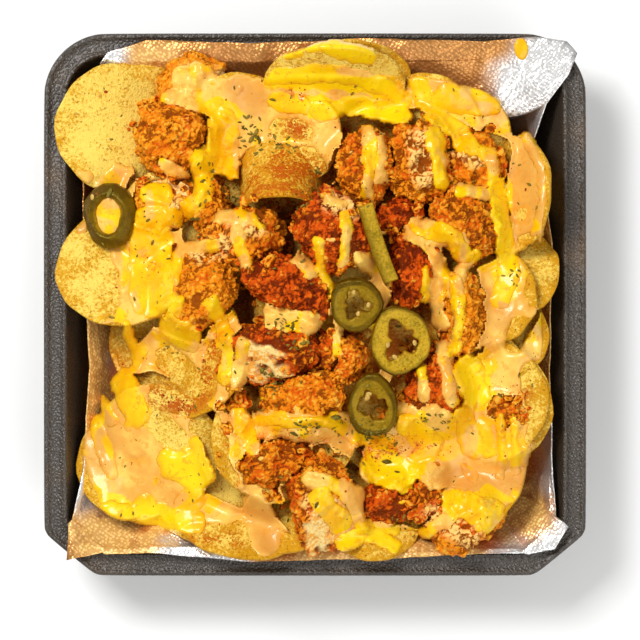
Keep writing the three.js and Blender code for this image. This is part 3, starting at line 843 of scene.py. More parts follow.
def tray_shape(settings):
    half = settings.half_width
    low, high = TRAY_EDGE_LOW[1] * MM, TRAY_EDGE_HIGH[1] * MM
    add = bpy.ops.mesh.primitive_plane_add
    tray = settle(new_piece(add, "black_foam_tray", size=2 * half, location=(0, 0, low)))
    with editing(tray):
        pick(tray, "verts", lambda v: v.co.y > 0)
        bpy.ops.mesh.bevel(offset=settings.rear_radius, segments=REAR_STEPS, affect="VERTICES")
        pick(tray, "verts", lambda v: v.co.y < AT_FRONT - half)
        bpy.ops.mesh.bevel(offset=settings.clip_deep, segments=1, affect="VERTICES")
        for side in (-1, 1):
            pick(tray, "verts", lambda v: v.co.y < AT_FRONT - half and v.co.x * side > 0)
            bpy.ops.transform.translate(value=(side * (settings.clip_deep - settings.clip_along), 0, 0))
        bpy.ops.mesh.select_all(action="SELECT")
        bpy.ops.mesh.extrude_region_move(TRANSFORM_OT_translate={"value": (0, 0, high - low)})
        bpy.ops.mesh.select_all(action="SELECT")
        bpy.ops.mesh.normals_make_consistent(inside=False)
        pick(tray, "faces", lambda f: f.normal.z > 0.9)
        set_in(TRAY_TOP, TRAY_EDGE_HIGH)
        pick(tray, "faces", lambda f: f.normal.z < -0.9)
        set_in(TRAY_BELOW, TRAY_EDGE_LOW)
        pick(tray, "edges", lambda e: is_front_corner(e, low, high))
        bpy.ops.mesh.loop_multi_select(ring=False)
        bpy.ops.mesh.bevel(offset=FRONT_ROUNDING, segments=3)
    apply_modifier(tray, "SUBSURF", levels=2)
    return tray


def is_front_corner(edge, low, high):
    heights = sorted(v.co.z for v in edge.verts)
    upright = abs(heights[0] - low) < 1e-5 and abs(heights[1] - high) < 1e-5
    return upright and all(v.co.y < 0 for v in edge.verts)


def foam_finish(settings):
    finish = Finish("black_foam", Specular_IOR_Level=0.7)
    beads = finish.cells(0.0012)
    fine = finish.bumps(0.0007, 3.0, 0.6)
    broad = finish.bumps(0.035, 2.0)
    warm = finish.rise(broad + 0.35 * (fine - 0.5), 0.5, 0.8)
    finish.paint("Base Color", finish.mix(0.8 * warm, settings.foam, settings.foam_worn))
    finish.paint("Roughness", 0.24 + 0.3 * fine)
    finish.relief((1 - finish.rise(beads, 0.0, 0.7)) + 0.6 * fine, 0.00035, 0.8)
    return finish.material


class NACHOS_OT_tray(Operator):
    """Makes the black foam tray"""

    bl_idname = "nachos.tray"
    bl_label = "Foam tray"

    def execute(self, context):
        settings = context.scene.nachos_tray
        finish_piece(tray_shape(settings), foam_finish(settings), "tray", slot="foam_tray")
        return {"FINISHED"}


# ---- Foil ---------------------------------------------------------------------------------------

FOIL_CUTS = 90  # planes through the middle that divide the foil
FOIL_FIRST_CUT = 0.37  # where the first of them lies, in steps from one to the next
FOIL_LEVELS = 12  # and level planes
FOIL_FOOT = 0.002  # height over the foil's underside from which they go up
FOIL_FOLD_SPACING = 16.0  # distance between the foil's sharp folds, mm
FOIL_FINE_FOLDS = 2.6  # how many times closer its finer folds are
FOIL_INWARD = 0.5  # how its crumples move it: towards the food
FOIL_UPWARD = 0.8  # and up
FOIL_FREE = (12, 38)  # heights between which the foil comes free of the tray, mm
# Where the foil is clean, without grease or a painted reflection of the food, and where sauce has run over
# it: radius, then the way, mm.
SILVER_FOIL = [
    (16, (92, 90), (106, 106)),
    (5, (-92, 109), (-86, 104)),
    (6, (104, -101), (80, -108)),
    (5, (106, -82), (108, -97)),
    (4, (101, -46), (101, -76)),
    (6, (-99, -80), (-94, -74)),
    (7, (-58, -106), (-36, -107)),
    (5, (-80, -24), (-76, -27)),
]
FILMED_FOIL = [
    (10, (-94, -2), (-93, -40)),
    (14, (-94, -92), (-66, -102)),
    (13, (88, -80), (90, -94)),
    (8, (80, 66), (84, 76)),
    (8, (0, -106), (66, -106)),
    (8, (99, 56), (98, -58)),
    (6, (-99, -30), (-99, -74)),
    (7, (-78, 102), (-64, 102)),
]


def foil_shape(settings):
    foil = copy_node("foil_liner", "embossed_foil")
    low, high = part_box("foil_liner")
    with editing(foil):
        for cut in range(FOIL_CUTS):
            angle = math.pi * (cut + FOIL_FIRST_CUT) / FOIL_CUTS
            bpy.ops.mesh.select_all(action="SELECT")
            bpy.ops.mesh.bisect(plane_co=(0, 0, 0), plane_no=(math.cos(angle), math.sin(angle), 0))
        for level in range(1, FOIL_LEVELS):
            height = low.z + FOIL_FOOT + (high.z - low.z - FOIL_FOOT) * level / FOIL_LEVELS
            bpy.ops.mesh.select_all(action="SELECT")
            bpy.ops.mesh.bisect(plane_co=(0, 0, height), plane_no=(0, 0, 1))
    apply_modifier(foil, "TRIANGULATE")
    apply_modifier(foil, "SUBSURF", levels=1, subdivision_type="SIMPLE")
    points = points_of(foil) / MM
    crumple = sharp_folds(points, FOIL_FOLD_SPACING, 1)
    crumple += 0.5 * sharp_folds(points, FOIL_FOLD_SPACING / FOIL_FINE_FOLDS, 2)
    free = smoothstep(points[:, 2], *FOIL_FREE)
    away = np.linalg.norm(points[:, :2], axis=1, keepdims=True)
    move = np.hstack((-FOIL_INWARD * points[:, :2] / away, np.full((len(points), 1), FOIL_UPWARD)))
    points += move * (free * (0.4 + crumple) * settings.crease / MM)[:, None]
    place_points(foil, points * MM)
    grease = foil_grease(points)
    film = smoothstep(way_depth(points[:, :2], FILMED_FOIL) + 3 * ripples(points, 7, 6), -3, 4)
    mark(foil, "greasy", grease)
    mark(foil, "film", film * grease)
    return foil


def sharp_folds(points, spacing, seed):
    """Height of the foil's folds at each point, about -1 to 1."""
    return 1 - 2.4 * np.abs(ripples(points, spacing, seed))


def foil_grease(points):
    """How warm the foil looks, from 0 for clean silver to 1 close to the food: partly grease, partly a
    painted reflection of the food.
    """
    depth = way_depth(points[:, :2], SILVER_FOIL) + 3 * ripples(points, 9, 4)
    return 1 - smoothstep(depth, -8, 3)


def foil_finish(settings):
    finish = Finish("embossed_foil")
    pebbles = finish.cells(settings.emboss, 0.55, (0.5, 0.4, 0.6))
    crumple = finish.bumps(0.011, 2.0)
    greasy = finish.attribute("greasy")
    film = finish.attribute("film")
    height = 1 - finish.rise(pebbles, 0.05, 0.8)
    # Painted reflection of the food, with grease, warms the metal near the food.
    metal = finish.mix(greasy, settings.metal, settings.greasy)
    # Partly painted shade: darker metal in the pebbles' hollows.
    metal = finish.mix(0.45 * greasy * finish.rise(height, 0.75, 0.3), metal, settings.hollow)
    patchy = film * finish.rise(finish.bumps(0.008, 3.0), 0.25, 0.5)
    # Partly painted shade: darker sauce film in the pebbles' hollows.
    film_tint = finish.mix(0.6 * finish.rise(height, 0.8, 0.3), settings.film, settings.film_hollow)
    finish.paint("Base Color", finish.mix(0.9 * patchy, metal, film_tint))
    finish.paint("Metallic", 0.8 - 0.15 * greasy - 0.55 * patchy)
    finish.paint("Roughness", 0.27 + 0.12 * finish.bumps(0.006))
    finish.relief(height + 0.5 * crumple, 0.0002, 0.65)
    return finish.material


class NACHOS_OT_foil(Operator):
    """Makes the embossed foil liner"""

    bl_idname = "nachos.foil"
    bl_label = "Foil liner"

    def execute(self, context):
        settings = context.scene.nachos_foil
        finish_piece(foil_shape(settings), foil_finish(settings), "foil_liner", slot="foil")
        return {"FINISHED"}


# ---- Chips --------------------------------------------------------------------------------------

TEMPLATE_RADIUS = 0.025
CHIP_EDGE = 0.3  # rounding of a chip's edge, as a share of its thickness
CHIP_DICE = 11
BLISTERS = (3, 6)  # on a chip
BLISTER_REACH = 0.85  # share of its radius within which they lie
BLISTER_WIDTH = (2.2, 5.0)  # mm
BLISTER_HEIGHT = (0.25, 0.8)
FILLER_DEPTH = (-6, -1)  # of the hidden chips, from the bed's top, mm
FILLER_LEAN = (6, 20)
FILLER_DIAMETER = (46, 56)
FILLER_CURL = (20, 45)
CORE_SINK = 7.0  # how far the core lies below the bed's top, mm
CORE_TOP_REACH = 91  # how far out its top goes, mm
CORE_FOOT_REACH = 87
CORE_FOOT = 4.2  # height of its underside, mm
CORE_TEMPLATE = 0.1  # radius of the disc that it is made from
CORE_RINGS = 9


def flat_chip(thickness, sides, rings):
    """A flat round chip: a thin disc with a rounded edge and both faces set in ring by ring."""
    add = bpy.ops.mesh.primitive_cylinder_add
    chip = new_piece(add, "flat_chip", vertices=sides, radius=TEMPLATE_RADIUS, depth=thickness)
    with editing(chip):
        pick(chip, "edges", lambda e: abs(e.verts[0].co.z - e.verts[1].co.z) < 1e-6)
        bpy.ops.mesh.bevel(offset=thickness * CHIP_EDGE, segments=2)
        for side in (-1, 1):
            pick(chip, "faces", lambda f: f.normal.z * side > 0.99)
            for _ in range(rings - 1):
                bpy.ops.mesh.inset(thickness=(TEMPLATE_RADIUS - thickness * CHIP_EDGE) / rings)
            bpy.ops.mesh.poke()
    return chip


def blisters(x, y, radius, dice):
    """Height of a few low domes that frying raised on a chip, mm."""
    height = np.zeros(len(x))
    for _ in range(dice.randint(*BLISTERS)):
        bearing = dice.uniform(0, 2 * math.pi)
        off = radius * math.sqrt(dice.random()) * BLISTER_REACH
        spread = dice.uniform(*BLISTER_WIDTH)
        gap = np.hypot(x - off * math.cos(bearing), y - off * math.sin(bearing)) / spread
        height += dice.uniform(*BLISTER_HEIGHT) * np.exp(-gap * gap)
    return height


def curled(flat, chip, dice, ruffle):
    """Points of a flat chip, rolled, rippled and put in their place in the tray, mm."""
    x0, y0, up, diameter, lean, faces, curl = chip
    radius = diameter / 2
    scale = radius * MM / TEMPLATE_RADIUS
    x, y, z = flat[:, 0] / MM * scale, flat[:, 1] / MM * scale, flat[:, 2] / MM
    bearing = np.arctan2(y, x)
    share = np.hypot(x, y) / radius
    uneven = 0.014 * np.sin(5 * bearing + x0) + 0.009 * np.sin(11 * bearing + y0) - 0.012
    x, y = x * (1 + uneven * share**4), y * (1 + uneven * share**4)
    bend = diameter / math.radians(curl)
    ripple = (CHIP_RIPPLE * np.sin(3 * bearing + x0) + ruffle * np.sin(9 * bearing + y0)) * share**2
    out = bend + z + ripple + blisters(x, y, radius, dice)
    rolled = np.column_stack((x, out * np.sin(y / bend), out * np.cos(y / bend) - bend))
    way = math.radians(faces)
    turned = turning((way, "Z"), (math.radians(lean), "Y"), (math.pi / 2 - way, "Z"))
    return rolled @ turned.T + np.array((x0, y0, heap_height(x0, y0) + up))


def chip_copy(template, chip, number, dice):
    piece = copy_piece(template, f"chip_{number}")
    flat = points_of(piece)
    edge = np.hypot(flat[:, 0], flat[:, 1]) / TEMPLATE_RADIUS
    points = curled(flat, chip, dice, RUFFLED.get(number, 0.0))
    place_points(piece, points * MM)
    toast = TOASTED.get(number, dice.uniform(*USUAL_TOAST))
    mark(piece, "toast", toast + 0.4 * edge**6)
    mark(piece, "spice", smoothstep(way_depth(points[:, :2], SPICED), -3, 4) * (flat[:, 2] > 0))
    mark(piece, "stain", chip_stain(points))
    mark(piece, "gap", chip_gap(points))
    return piece


def chip_gap(points):
    """Painted shade on the chips that lie deep in a gap of the heap, from 0 to 1."""
    low = smoothstep(heap_height(points[:, 0], points[:, 1]) - points[:, 2], -5, 0)
    return low * smoothstep(way_depth(points[:, :2], DARK_GAPS), -3, 2)


def chip_stain(points):
    """How much sauce and red oil has soaked into the chips, from 0 to 1, with painted shade in it: most low
    down between chicken, where shade falls.
    """
    low = smoothstep(heap_height(points[:, 0], points[:, 1]) - points[:, 2], -7, 1)
    return low * (0.4 + 0.6 * smoothstep(way_depth(points[:, :2], STAINED), -6, 5))


def gap_depth(x, y, slack=3.0):
    """How much lower the chips below lie at a place, because of the gaps in the heap, mm."""
    depth = way_depth(np.column_stack((np.atleast_1d(x), np.atleast_1d(y))), DARK_GAPS)
    depth = GAP_DEPTH * smoothstep(depth, -slack, 1)
    return depth if np.ndim(x) else float(depth[0])


def filler_chips(count, dice):
    """Places of the chips below, which show only in the gaps of the heap."""
    chips = []
    for _ in range(count):
        x, y = dice.uniform(-FILLER_REACH, FILLER_REACH), dice.uniform(-FILLER_REACH, FILLER_REACH)
        up = dice.uniform(*FILLER_DEPTH) - gap_depth(x, y, 12)
        lean = dice.uniform(*FILLER_LEAN)
        diameter = dice.uniform(*FILLER_DIAMETER)
        chips.append((x, y, up, diameter, lean, dice.uniform(0, 360), dice.uniform(*FILLER_CURL)))
    return chips


def rounded_reach(bearing):
    """How far out the heap's square outline goes in each bearing, as a share of half its width."""
    across, along = np.abs(np.cos(bearing)), np.abs(np.sin(bearing))
    return (across**HEAP_CORNER + along**HEAP_CORNER) ** (-1 / HEAP_CORNER)


def chip_core():
    """The bed below the chips, which closes the gaps between them."""
    add = bpy.ops.mesh.primitive_cylinder_add
    core = new_piece(add, "chip_core", vertices=64, radius=CORE_TEMPLATE, depth=0.02)
    with editing(core):
        pick(core, "faces", lambda f: f.normal.z > 0.9)
        for _ in range(CORE_RINGS):
            bpy.ops.mesh.inset(thickness=CORE_TEMPLATE / (CORE_RINGS + 1))
        bpy.ops.mesh.poke()
    points = points_of(core) / MM
    bearing = np.arctan2(points[:, 1], points[:, 0])
    upper = points[:, 2] > 0
    share = np.hypot(points[:, 0], points[:, 1]) * MM / CORE_TEMPLATE
    reach = np.where(upper, CORE_TOP_REACH, CORE_FOOT_REACH) * share * rounded_reach(bearing)
    x, y = reach * np.cos(bearing), reach * np.sin(bearing)
    height = heap_height(x, y) - CORE_SINK
    height += 1.6 * ripples(np.column_stack((x, y, 0 * x)), 12, 3) - 10 * share**6 - gap_depth(x, y)
    place_points(core, np.column_stack((x, y, np.where(upper, height, CORE_FOOT))) * MM)
    mark(core, "toast", np.full(len(x), 0.8))
    # The whole core carries the stain, partly painted shade on the hidden bed.
    mark(core, "stain", np.ones(len(x)))
    # Painted shade on the core in the open gaps of the heap.
    mark(core, "gap", smoothstep(way_depth(np.column_stack((x, y)), DARK_GAPS), -4, 1))
    return core


def chip_finish(settings):
    finish = Finish(
        "tortilla_chip",
        Specular_IOR_Level=0.22,
        Specular_Tint=(1.0, 0.85, 0.6, 1.0),
        Subsurface_Weight=0.08,
        Subsurface_Scale=0.002,
        Subsurface_Radius=(1.0, 0.6, 0.2),
    )
    toast = finish.attribute("toast")
    broad = finish.bumps(0.009, 3.0)
    grain = finish.bumps(0.0013, 4.0, 0.7)
    flecks = finish.rise(finish.bumps(0.0012, 1.0) + 0.3 * (broad - 0.5), 0.63, 0.7)
    golden = finish.rise(broad + 0.5 * toast + 1.7 * (grain - 0.5), 0.48, 0.94)
    corn = finish.mix(golden, settings.corn, settings.gold)
    corn = finish.mix(0.6 * flecks, corn, settings.fleck)
    spice = finish.attribute("spice") * finish.rise(grain + 0.9 * (broad - 0.5), 0.44, 0.6)
    corn = finish.mix(0.9 * spice, corn, settings.spice)
    # Soaked-in sauce, partly painted shade low in the heap.
    stain = finish.attribute("stain") * finish.rise(broad + grain, 0.6, 1.1)
    corn = finish.mix(0.9 * stain, corn, settings.stain)
    # Painted shade: chips deep in the open gaps are darkened towards the deep colour.
    finish.paint("Base Color", finish.mix(0.85 * finish.attribute("gap"), corn, settings.deep))
    finish.paint("Roughness", 0.45 + 0.2 * grain)
    pits = finish.bumps(0.0007, 2.0)
    finish.relief(broad + 1.1 * grain + 0.3 * pits, 0.0011, 0.85)
    return finish.material


class NACHOS_OT_chips(Operator):
    """Makes the heap of tortilla chips on its core"""

    bl_idname = "nachos.chips"
    bl_label = "Tortilla chips"

    def execute(self, context):
        settings = context.scene.nachos_chips
        dice = random.Random(CHIP_DICE)
        fine = flat_chip(settings.thickness, sides=44, rings=12)
        plain = flat_chip(settings.thickness, sides=22, rings=5)
        chips = [chip_copy(fine, chip, k, dice) for k, chip in enumerate(CHIPS)]
        hidden = filler_chips(settings.fillers, dice)
        chips += [chip_copy(plain, chip, len(CHIPS) + k, dice) for k, chip in enumerate(hidden)]
        discard(fine)
        discard(plain)
        material = chip_finish(settings)
        finish_piece(join(chips, "tortilla_chips"), material, "chip_heap", slot="tortilla_chips")
        finish_piece(chip_core(), material)
        return {"FINISHED"}


# ---- Chicken ------------------------------------------------------------------------------------

CRUMB_SPACING = 2.3  # distance between the crust's crumbs, mm
COARSE_CRUMBS = 1.3  # how many times farther apart its coarser crumbs are
CRUMB_BENDS = 2.8  # spacing of the bends in their outlines, mm
LUMP_SPACING = 7.0
CREASE_SPACING = 8.5  # distance between the creases that part a piece into knobs, mm
FIBRE = (0.5, 2.6, 1.1)  # spacing of the meat's fibres across, along and up, mm
CRUST_SMOOTHING = 6
BIT_DICE = 31
BIT_SHAPES = 5  # of the bits of crust: so many fine shapes, and as many coarse ones
BIT_FORM = (1.25, 0.9, 0.7)  # how long, wide and high they are
BIT_SPREAD = 0.4  # how much their sizes differ
BIT_OUT = (0.8, 1.3)  # how far from the middle of a piece of chicken they lie, in its half-size
FINE_BIT = 1.4  # size from which a bit has a fine shape, mm
LARGEST_BIT = 2.6
BIT_MARGIN = 6  # how far inside the heap's outline the bits stay, mm
BIT_GRID = 1.0  # pitch of the grid that the bits are laid on, mm


def crumbs(points, seed):
    """Height of the crust's crumbs at each point, from 0 between them to 1 on them."""
    bent = np.column_stack([ripples(points, CRUMB_BENDS, seed + 60 + k) for k in range(3)])
    heights = np.zeros(len(points))
    for spacing in (CRUMB_SPACING, COARSE_CRUMBS * CRUMB_SPACING):
        scaled = points / spacing + 0.9 * bent + seed * 3.3
        for k, p in enumerate(scaled.tolist()):
            near = noise.voronoi(p)[0]
            heights[k] = max(heights[k], min(1.0, (near[1] - near[0]) / 0.6))
    return heights


def crags(points, seed):
    """Height of the crust's crags at each point, about -1 to 1: rough knobs with creases between."""
    scaled = points / LUMP_SPACING + np.array((seed * 1.7, seed * 2.9, seed * 0.7))
    rough = np.array([noise.fractal(p, 0.55, 2.3, 4) for p in scaled.tolist()])
    crease = np.empty(len(points))
    bent = points / CREASE_SPACING + 0.25 * rough[:, None] + seed * 2.1
    for k, p in enumerate(bent.tolist()):
        near = noise.voronoi(p)[0]
        crease[k] = min(1.0, (near[1] - near[0]) / 0.35)
    return 0.75 * rough + 0.5 * (crease - 0.75)


def meat_share(points, number):
    """Where a torn piece shows its meat, from 0 to 1."""
    if number not in TORN_CHICKEN:
        return np.zeros(len(points))
    x, y, long, wide, turn, up, torn = TORN_CHICKEN[number]
    middle = np.array((x, y, heap_height(x, y) + up))
    turned = turning((math.radians(-turn), "Z"))
    local = (points - middle) @ turned.T / np.array((long, wide, 0.42 * (long + wide)))
    bearing = math.radians(torn - turn)
    way = np.array((math.cos(bearing), math.sin(bearing), 1)) / math.sqrt(2)
    return smoothstep(local @ way + 0.1 * ripples(points, 4, number), TORN_AT, TORN_AT + 0.07)


def chicken_piece(number, settings):
    name = f"chicken_{number:02d}"
    piece = even_copy(name, f"fried_{name}", settings.pitch, CRUST_SMOOTHING)
    points = points_of(piece) / MM
    normals = normals_of(piece)
    meat = meat_share(points, number)
    lumps = crags(points, number)
    crumb = crumbs(points, number)
    raised = crumb * (0.8 + 0.5 * ripples(points, 4.5, number + 40))
    fibres = ripples(points / np.array(FIBRE), 1.0, number)
    crust = (lumps - 0.1) * settings.lump + (raised - 0.35) * settings.crumb
    move = (crust * (1 - meat) + meat * (fibres * 0.35 - 0.3) * MM) / MM
    place_points(piece, (points + normals * move[:, None]) * MM)
    # How high each point stands in the crust: the finish darkens the low points and lightens the high ones,
    # partly as painted shade and painted highlight.
    mark(piece, "crag", np.clip(0.42 + 0.25 * lumps + 0.6 * (crumb - 0.5), 0, 1))
    mark(piece, "meat", meat)
    mark(piece, "tone", np.full(len(points), CRUST_TONES[number]))
    mark(piece, "pale", smoothstep(way_depth(points[:, :2], PALE_CRUSTS), -2, 2))
    return piece


def crust_bits(settings):
    """Bits of crust that broke off and lie round the chicken: craggy lumps of a few shapes."""
    dice = random.Random(BIT_DICE)
    lumps = []
    for number in range(2 * BIT_SHAPES):
        add = bpy.ops.mesh.primitive_ico_sphere_add
        lump = new_piece(add, "lump", subdivisions=3 if number < BIT_SHAPES else 2, radius=1)
        ball = points_of(lump)
        bulge = ripples(ball, 0.8, number) + 0.6 * ripples(ball, 0.35, number + 9)
        place_points(lump, ball * (1 + 0.45 * bulge)[:, None] * np.array(BIT_FORM))
        mark(lump, "crag", np.clip(0.5 + 0.9 * bulge, 0, 1))
        lumps.append(lump)
    above = Overhead(BIT_GRID, ("tortilla_chips", "chip_core", "fried_chicken"))
    pieces = []
    for _ in range(settings.bits):
        node = f"chicken_{dice.choice(list(CRUST_TONES)):02d}"
        low, high = (np.array(corner)[:2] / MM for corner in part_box(node))
        bearing = dice.uniform(0, 2 * math.pi)
        out = dice.uniform(*BIT_OUT)
        way = np.array((math.cos(bearing), math.sin(bearing)))
        x, y = (low + high) / 2 + (high - low) / 2 * out * way
        size = min(settings.bit * math.exp(dice.gauss(0, BIT_SPREAD)) / MM, LARGEST_BIT)
        if heap_depth(x, y) < BIT_MARGIN:
            continue
        row, column = above.cell(x, y)
        turn = turning((dice.uniform(*ANY_TURN), "Z"), (dice.uniform(0, 1), "X"))
        lump = dice.choice(lumps[:BIT_SHAPES] if size > FINE_BIT else lumps[BIT_SHAPES:])
        middle = np.array((x, y, above.top[row, column] + 0.25 * size))
        pieces.append(placed_copy(lump, "bit", (points_of(lump) * size @ turn.T + middle) * MM))
    for lump in lumps:
        discard(lump)
    whole = join(pieces, "crust_bits")
    mark(whole, "tone", np.clip(0.45 + 0.6 * ripples(points_of(whole) / MM, 7, 3), 0, 1))
    return whole


def crust_finish(settings):
    finish = Finish(
        "fried_crust",
        Specular_IOR_Level=0.3,
        Specular_Tint=(1.0, 0.7, 0.3, 1.0),
        Subsurface_Weight=0.06,
        Subsurface_Scale=0.001,
    )
    crag = finish.attribute("crag")
    tone = finish.attribute("tone")
    meat = finish.attribute("meat")
    patches = finish.bumps(0.0065, 3.0, 0.6)
    grain = finish.bumps(0.0009, 4.0, 0.75)
    red = finish.rise(0.85 * tone + 1.9 * (patches - 0.5) + 1.2 * (grain - 0.5), 0.2, 0.68)
    crust = finish.mix(red, settings.golden, settings.red)
    # Partly painted shade: the crust darkens in its hollows and creases.
    hollow = finish.rise(crag + 1.1 * (grain - 0.5) + 1.5 * (patches - 0.5) - 0.16 * tone, 0.38, 0.1)
    crust = finish.mix((0.72 + 0.28 * tone) * hollow, crust, settings.deep)
    # Partly painted highlight: the tips of the crags and crumbs are lightened.
    light = finish.rise(crag + 1.3 * (grain - 0.5) + 0.7 * (patches - 0.5) - 0.28 * tone, 0.42, 0.68)
    crust = finish.mix(0.9 * light, crust, settings.tip)
    pale = finish.attribute("pale") * finish.rise(crag + 0.5 * (grain - 0.5), 0.2, 0.45)
    crust = finish.mix(0.85 * pale, crust, settings.coat)
    fibres = finish.rise(finish.bumps(0.0012, 3.0) + 0.8 * (patches - 0.5), 0.4, 0.62)
    flesh = finish.mix(fibres, settings.meat, settings.fibre)
    finish.paint("Base Color", finish.mix(meat, crust, flesh))
    finish.paint("Roughness", 0.32 + 0.3 * grain)
    smooth = 1 - 0.6 * finish.rise(meat + pale, 0.0, 1.0)
    finish.relief((grain + 0.35 * finish.bumps(0.0004, 1.0)) * smooth, 0.001, 0.85)
    return finish.material


class NACHOS_OT_chicken(Operator):
    """Makes the pieces of fried chicken"""

    bl_idname = "nachos.chicken"
    bl_label = "Fried chicken"

    def execute(self, context):
        settings = context.scene.nachos_chicken
        material = crust_finish(settings)
        for number in CRUST_TONES:
            node = f"chicken_{number:02d}"
            finish_piece(chicken_piece(number, settings), material, node, slot="fried_chicken")
        finish_piece(crust_bits(settings), material)
        return {"FINISHED"}


# ---- Jalapeno -----------------------------------------------------------------------------------

SEED_DICE = 5
SEEDS = 3  # in each slice
SEED_RADIUS = 0.001
SEED_FORM = (1.3, 1.0, 0.45)  # how long, wide and high a seed is
SEED_TILT = 0.4
SEED_REACH = (0.3, 0.5)  # how far from a slice's middle the seeds lie, in its radius
SEED_HEIGHT = (1.2, 1.9)  # and over it, mm
DOME_SEED_REACH = (0.5, 0.8)  # the same on the domed slice, where they lie on one side
DOME_SEED_BEARING = (1.4, 2.6)
DOMED_SLICE = 0  # the slice cut from the pepper's end
OPEN_SHARE = 0.5  # share of its radius that its opening takes
DOME_FALL = 3.0  # how far its rim lies below its top, mm
DOME_HOLLOW = 1.2  # how deep its top is hollowed, mm
RIND_PROUD = 0.5  # how far the rind of the others stands proud of the flesh, mm
SLICE_SMOOTHING = 8
STRIP_ACROSS = (0.94, 0.34, 0)  # the way across the strip
SKIN_FROM = (0.42, 0.68, 0.84, 0.68)  # share of each slice's radius at which its dark rind starts
DARK_FLESH = (0.3, 0.55, 0.0, 0.5)  # how dark the flesh of each slice is


def slice_turn(slice_):
    lean, way = (math.radians(angle) for angle in slice_[5:])
    return turning((way, "Z"), (lean, "Y"), (-way, "Z"))


def jalapeno_slice(number, slice_, settings):
    """A slice of pickled jalapeno: its rind stands proud of its flesh, unless it is the domed one."""
    name = f"jalapeno_{number + 1}"
    piece = even_copy(name, f"pickled_{name}", settings.pitch, SLICE_SMOOTHING)
    x, y, across, along, up = slice_[:5]
    middle = np.array((x, y, heap_height(x, y) + up))
    turn = slice_turn(slice_)
    local = (points_of(piece) / MM - middle) @ turn
    share = np.hypot(local[:, 0] / across, local[:, 1] / along)
    bearing = np.arctan2(local[:, 1], local[:, 0])
    lobes = 1 + 0.035 * np.sin(3 * bearing + number) + 0.02 * np.sin(5 * bearing + 2 * number)
    opening = 0.14 * np.sin(4 * bearing + 2.3 * number) + 0.1 * np.sin(9 * bearing + number)
    lobes += opening * smoothstep(share, 0.72, 0.4) * (number != DOMED_SLICE)
    local[:, :2] *= lobes[:, None]
    if number == DOMED_SLICE:
        hollow = DOME_HOLLOW * smoothstep(share, 0.7, 0.45) * (local[:, 2] > 0)
        local[:, 2] -= DOME_FALL * smoothstep(share, 0.62, 1.05) + hollow
    else:
        local[:, 2] -= RIND_PROUD * np.sign(local[:, 2]) * smoothstep(share, 0.95, 0.7)
    local[:, 2] += 0.25 * ripples(local, 4, number)
    place_points(piece, (local @ turn.T + middle) * MM)
    rind = SKIN_FROM[number] + 0.04 * np.sin(2 * bearing + number)
    mark(piece, "skin", np.maximum(DARK_FLESH[number], smoothstep(share, rind, rind + 0.16)))
    mark(piece, "heart", smoothstep(share, 0.62, 0.3))
    return piece


def jalapeno_strip(settings):
    piece = even_copy(STRIP_NODE, f"pickled_{STRIP_NODE}", settings.pitch, SLICE_SMOOTHING)
    across = points_of(piece) / MM @ np.array(STRIP_ACROSS)
    mark(piece, "skin", 0.12 + 0.55 * smoothstep(across, np.median(across) + 0.2, across.min() + 0.5))
    return piece


def seeds():
    """Flat seeds that cling to the hearts of the slices."""
    dice = random.Random(SEED_DICE)
    add = bpy.ops.mesh.primitive_uv_sphere_add
    template = new_piece(add, "seed", segments=12, ring_count=8, radius=SEED_RADIUS)
    flat = points_of(template) * np.array(SEED_FORM)
    pieces = []
    for number, slice_ in enumerate(JALAPENOS):
        x, y, across, along, up = slice_[:5]
        turn = slice_turn(slice_)
        for _ in range(SEEDS):
            bearing = dice.uniform(0, 2 * math.pi)
            off = dice.uniform(*SEED_REACH)
            if number == DOMED_SLICE:
                bearing, off = dice.uniform(*DOME_SEED_BEARING), dice.uniform(*DOME_SEED_REACH)
            spin = turning((dice.uniform(*ANY_TURN), "Z"), (SEED_TILT, "X"))
            out = off * np.array((across, along)) * np.array((math.cos(bearing), math.sin(bearing)))
            place = np.array((*out, dice.uniform(*SEED_HEIGHT)))
            middle = place @ turn.T + np.array((x, y, heap_height(x, y) + up))
            pieces.append(placed_copy(template, "seed", flat @ spin.T @ turn.T + middle * MM))
    discard(template)
    return join(pieces, "jalapeno_seeds")


def jalapeno_finish(settings):
    finish = Finish(
        "pickled_jalapeno",
        Specular_IOR_Level=0.45,
        Specular_Tint=(1.0, 0.86, 0.2, 1.0),
        Subsurface_Weight=0.1,
        Subsurface_Scale=0.002,
        Subsurface_Radius=(1.0, 0.9, 0.15),
    )
    skin = finish.attribute("skin")
    patches = finish.bumps(0.006, 3.0)
    fibres = finish.bumps(0.0009, 3.0, 0.6)
    dark = finish.rise(fibres + 0.6 * (patches - 0.5), 0.35, 0.75)
    flesh = finish.mix(dark, settings.flesh, settings.flesh_dark)
    flesh = finish.mix(0.6 * finish.attribute("heart"), flesh, settings.heart)
    rind = finish.mix(finish.rise(patches, 0.4, 0.65), settings.skin, settings.skin_pale)
    finish.paint("Base Color", finish.mix(skin, flesh, rind))
    finish.paint("Roughness", 0.2 + 0.15 * fibres)
    finish.relief(fibres + 0.6 * patches, 0.0004, 0.6)
    return finish.material


def seed_finish(settings):
    finish = Finish("jalapeno_seed", Specular_IOR_Level=0.5, Roughness=0.35)
    tint = finish.bumps(0.0008)
    finish.paint("Base Color", finish.mix(tint, settings.seed, settings.seed_dark))
    return finish.material


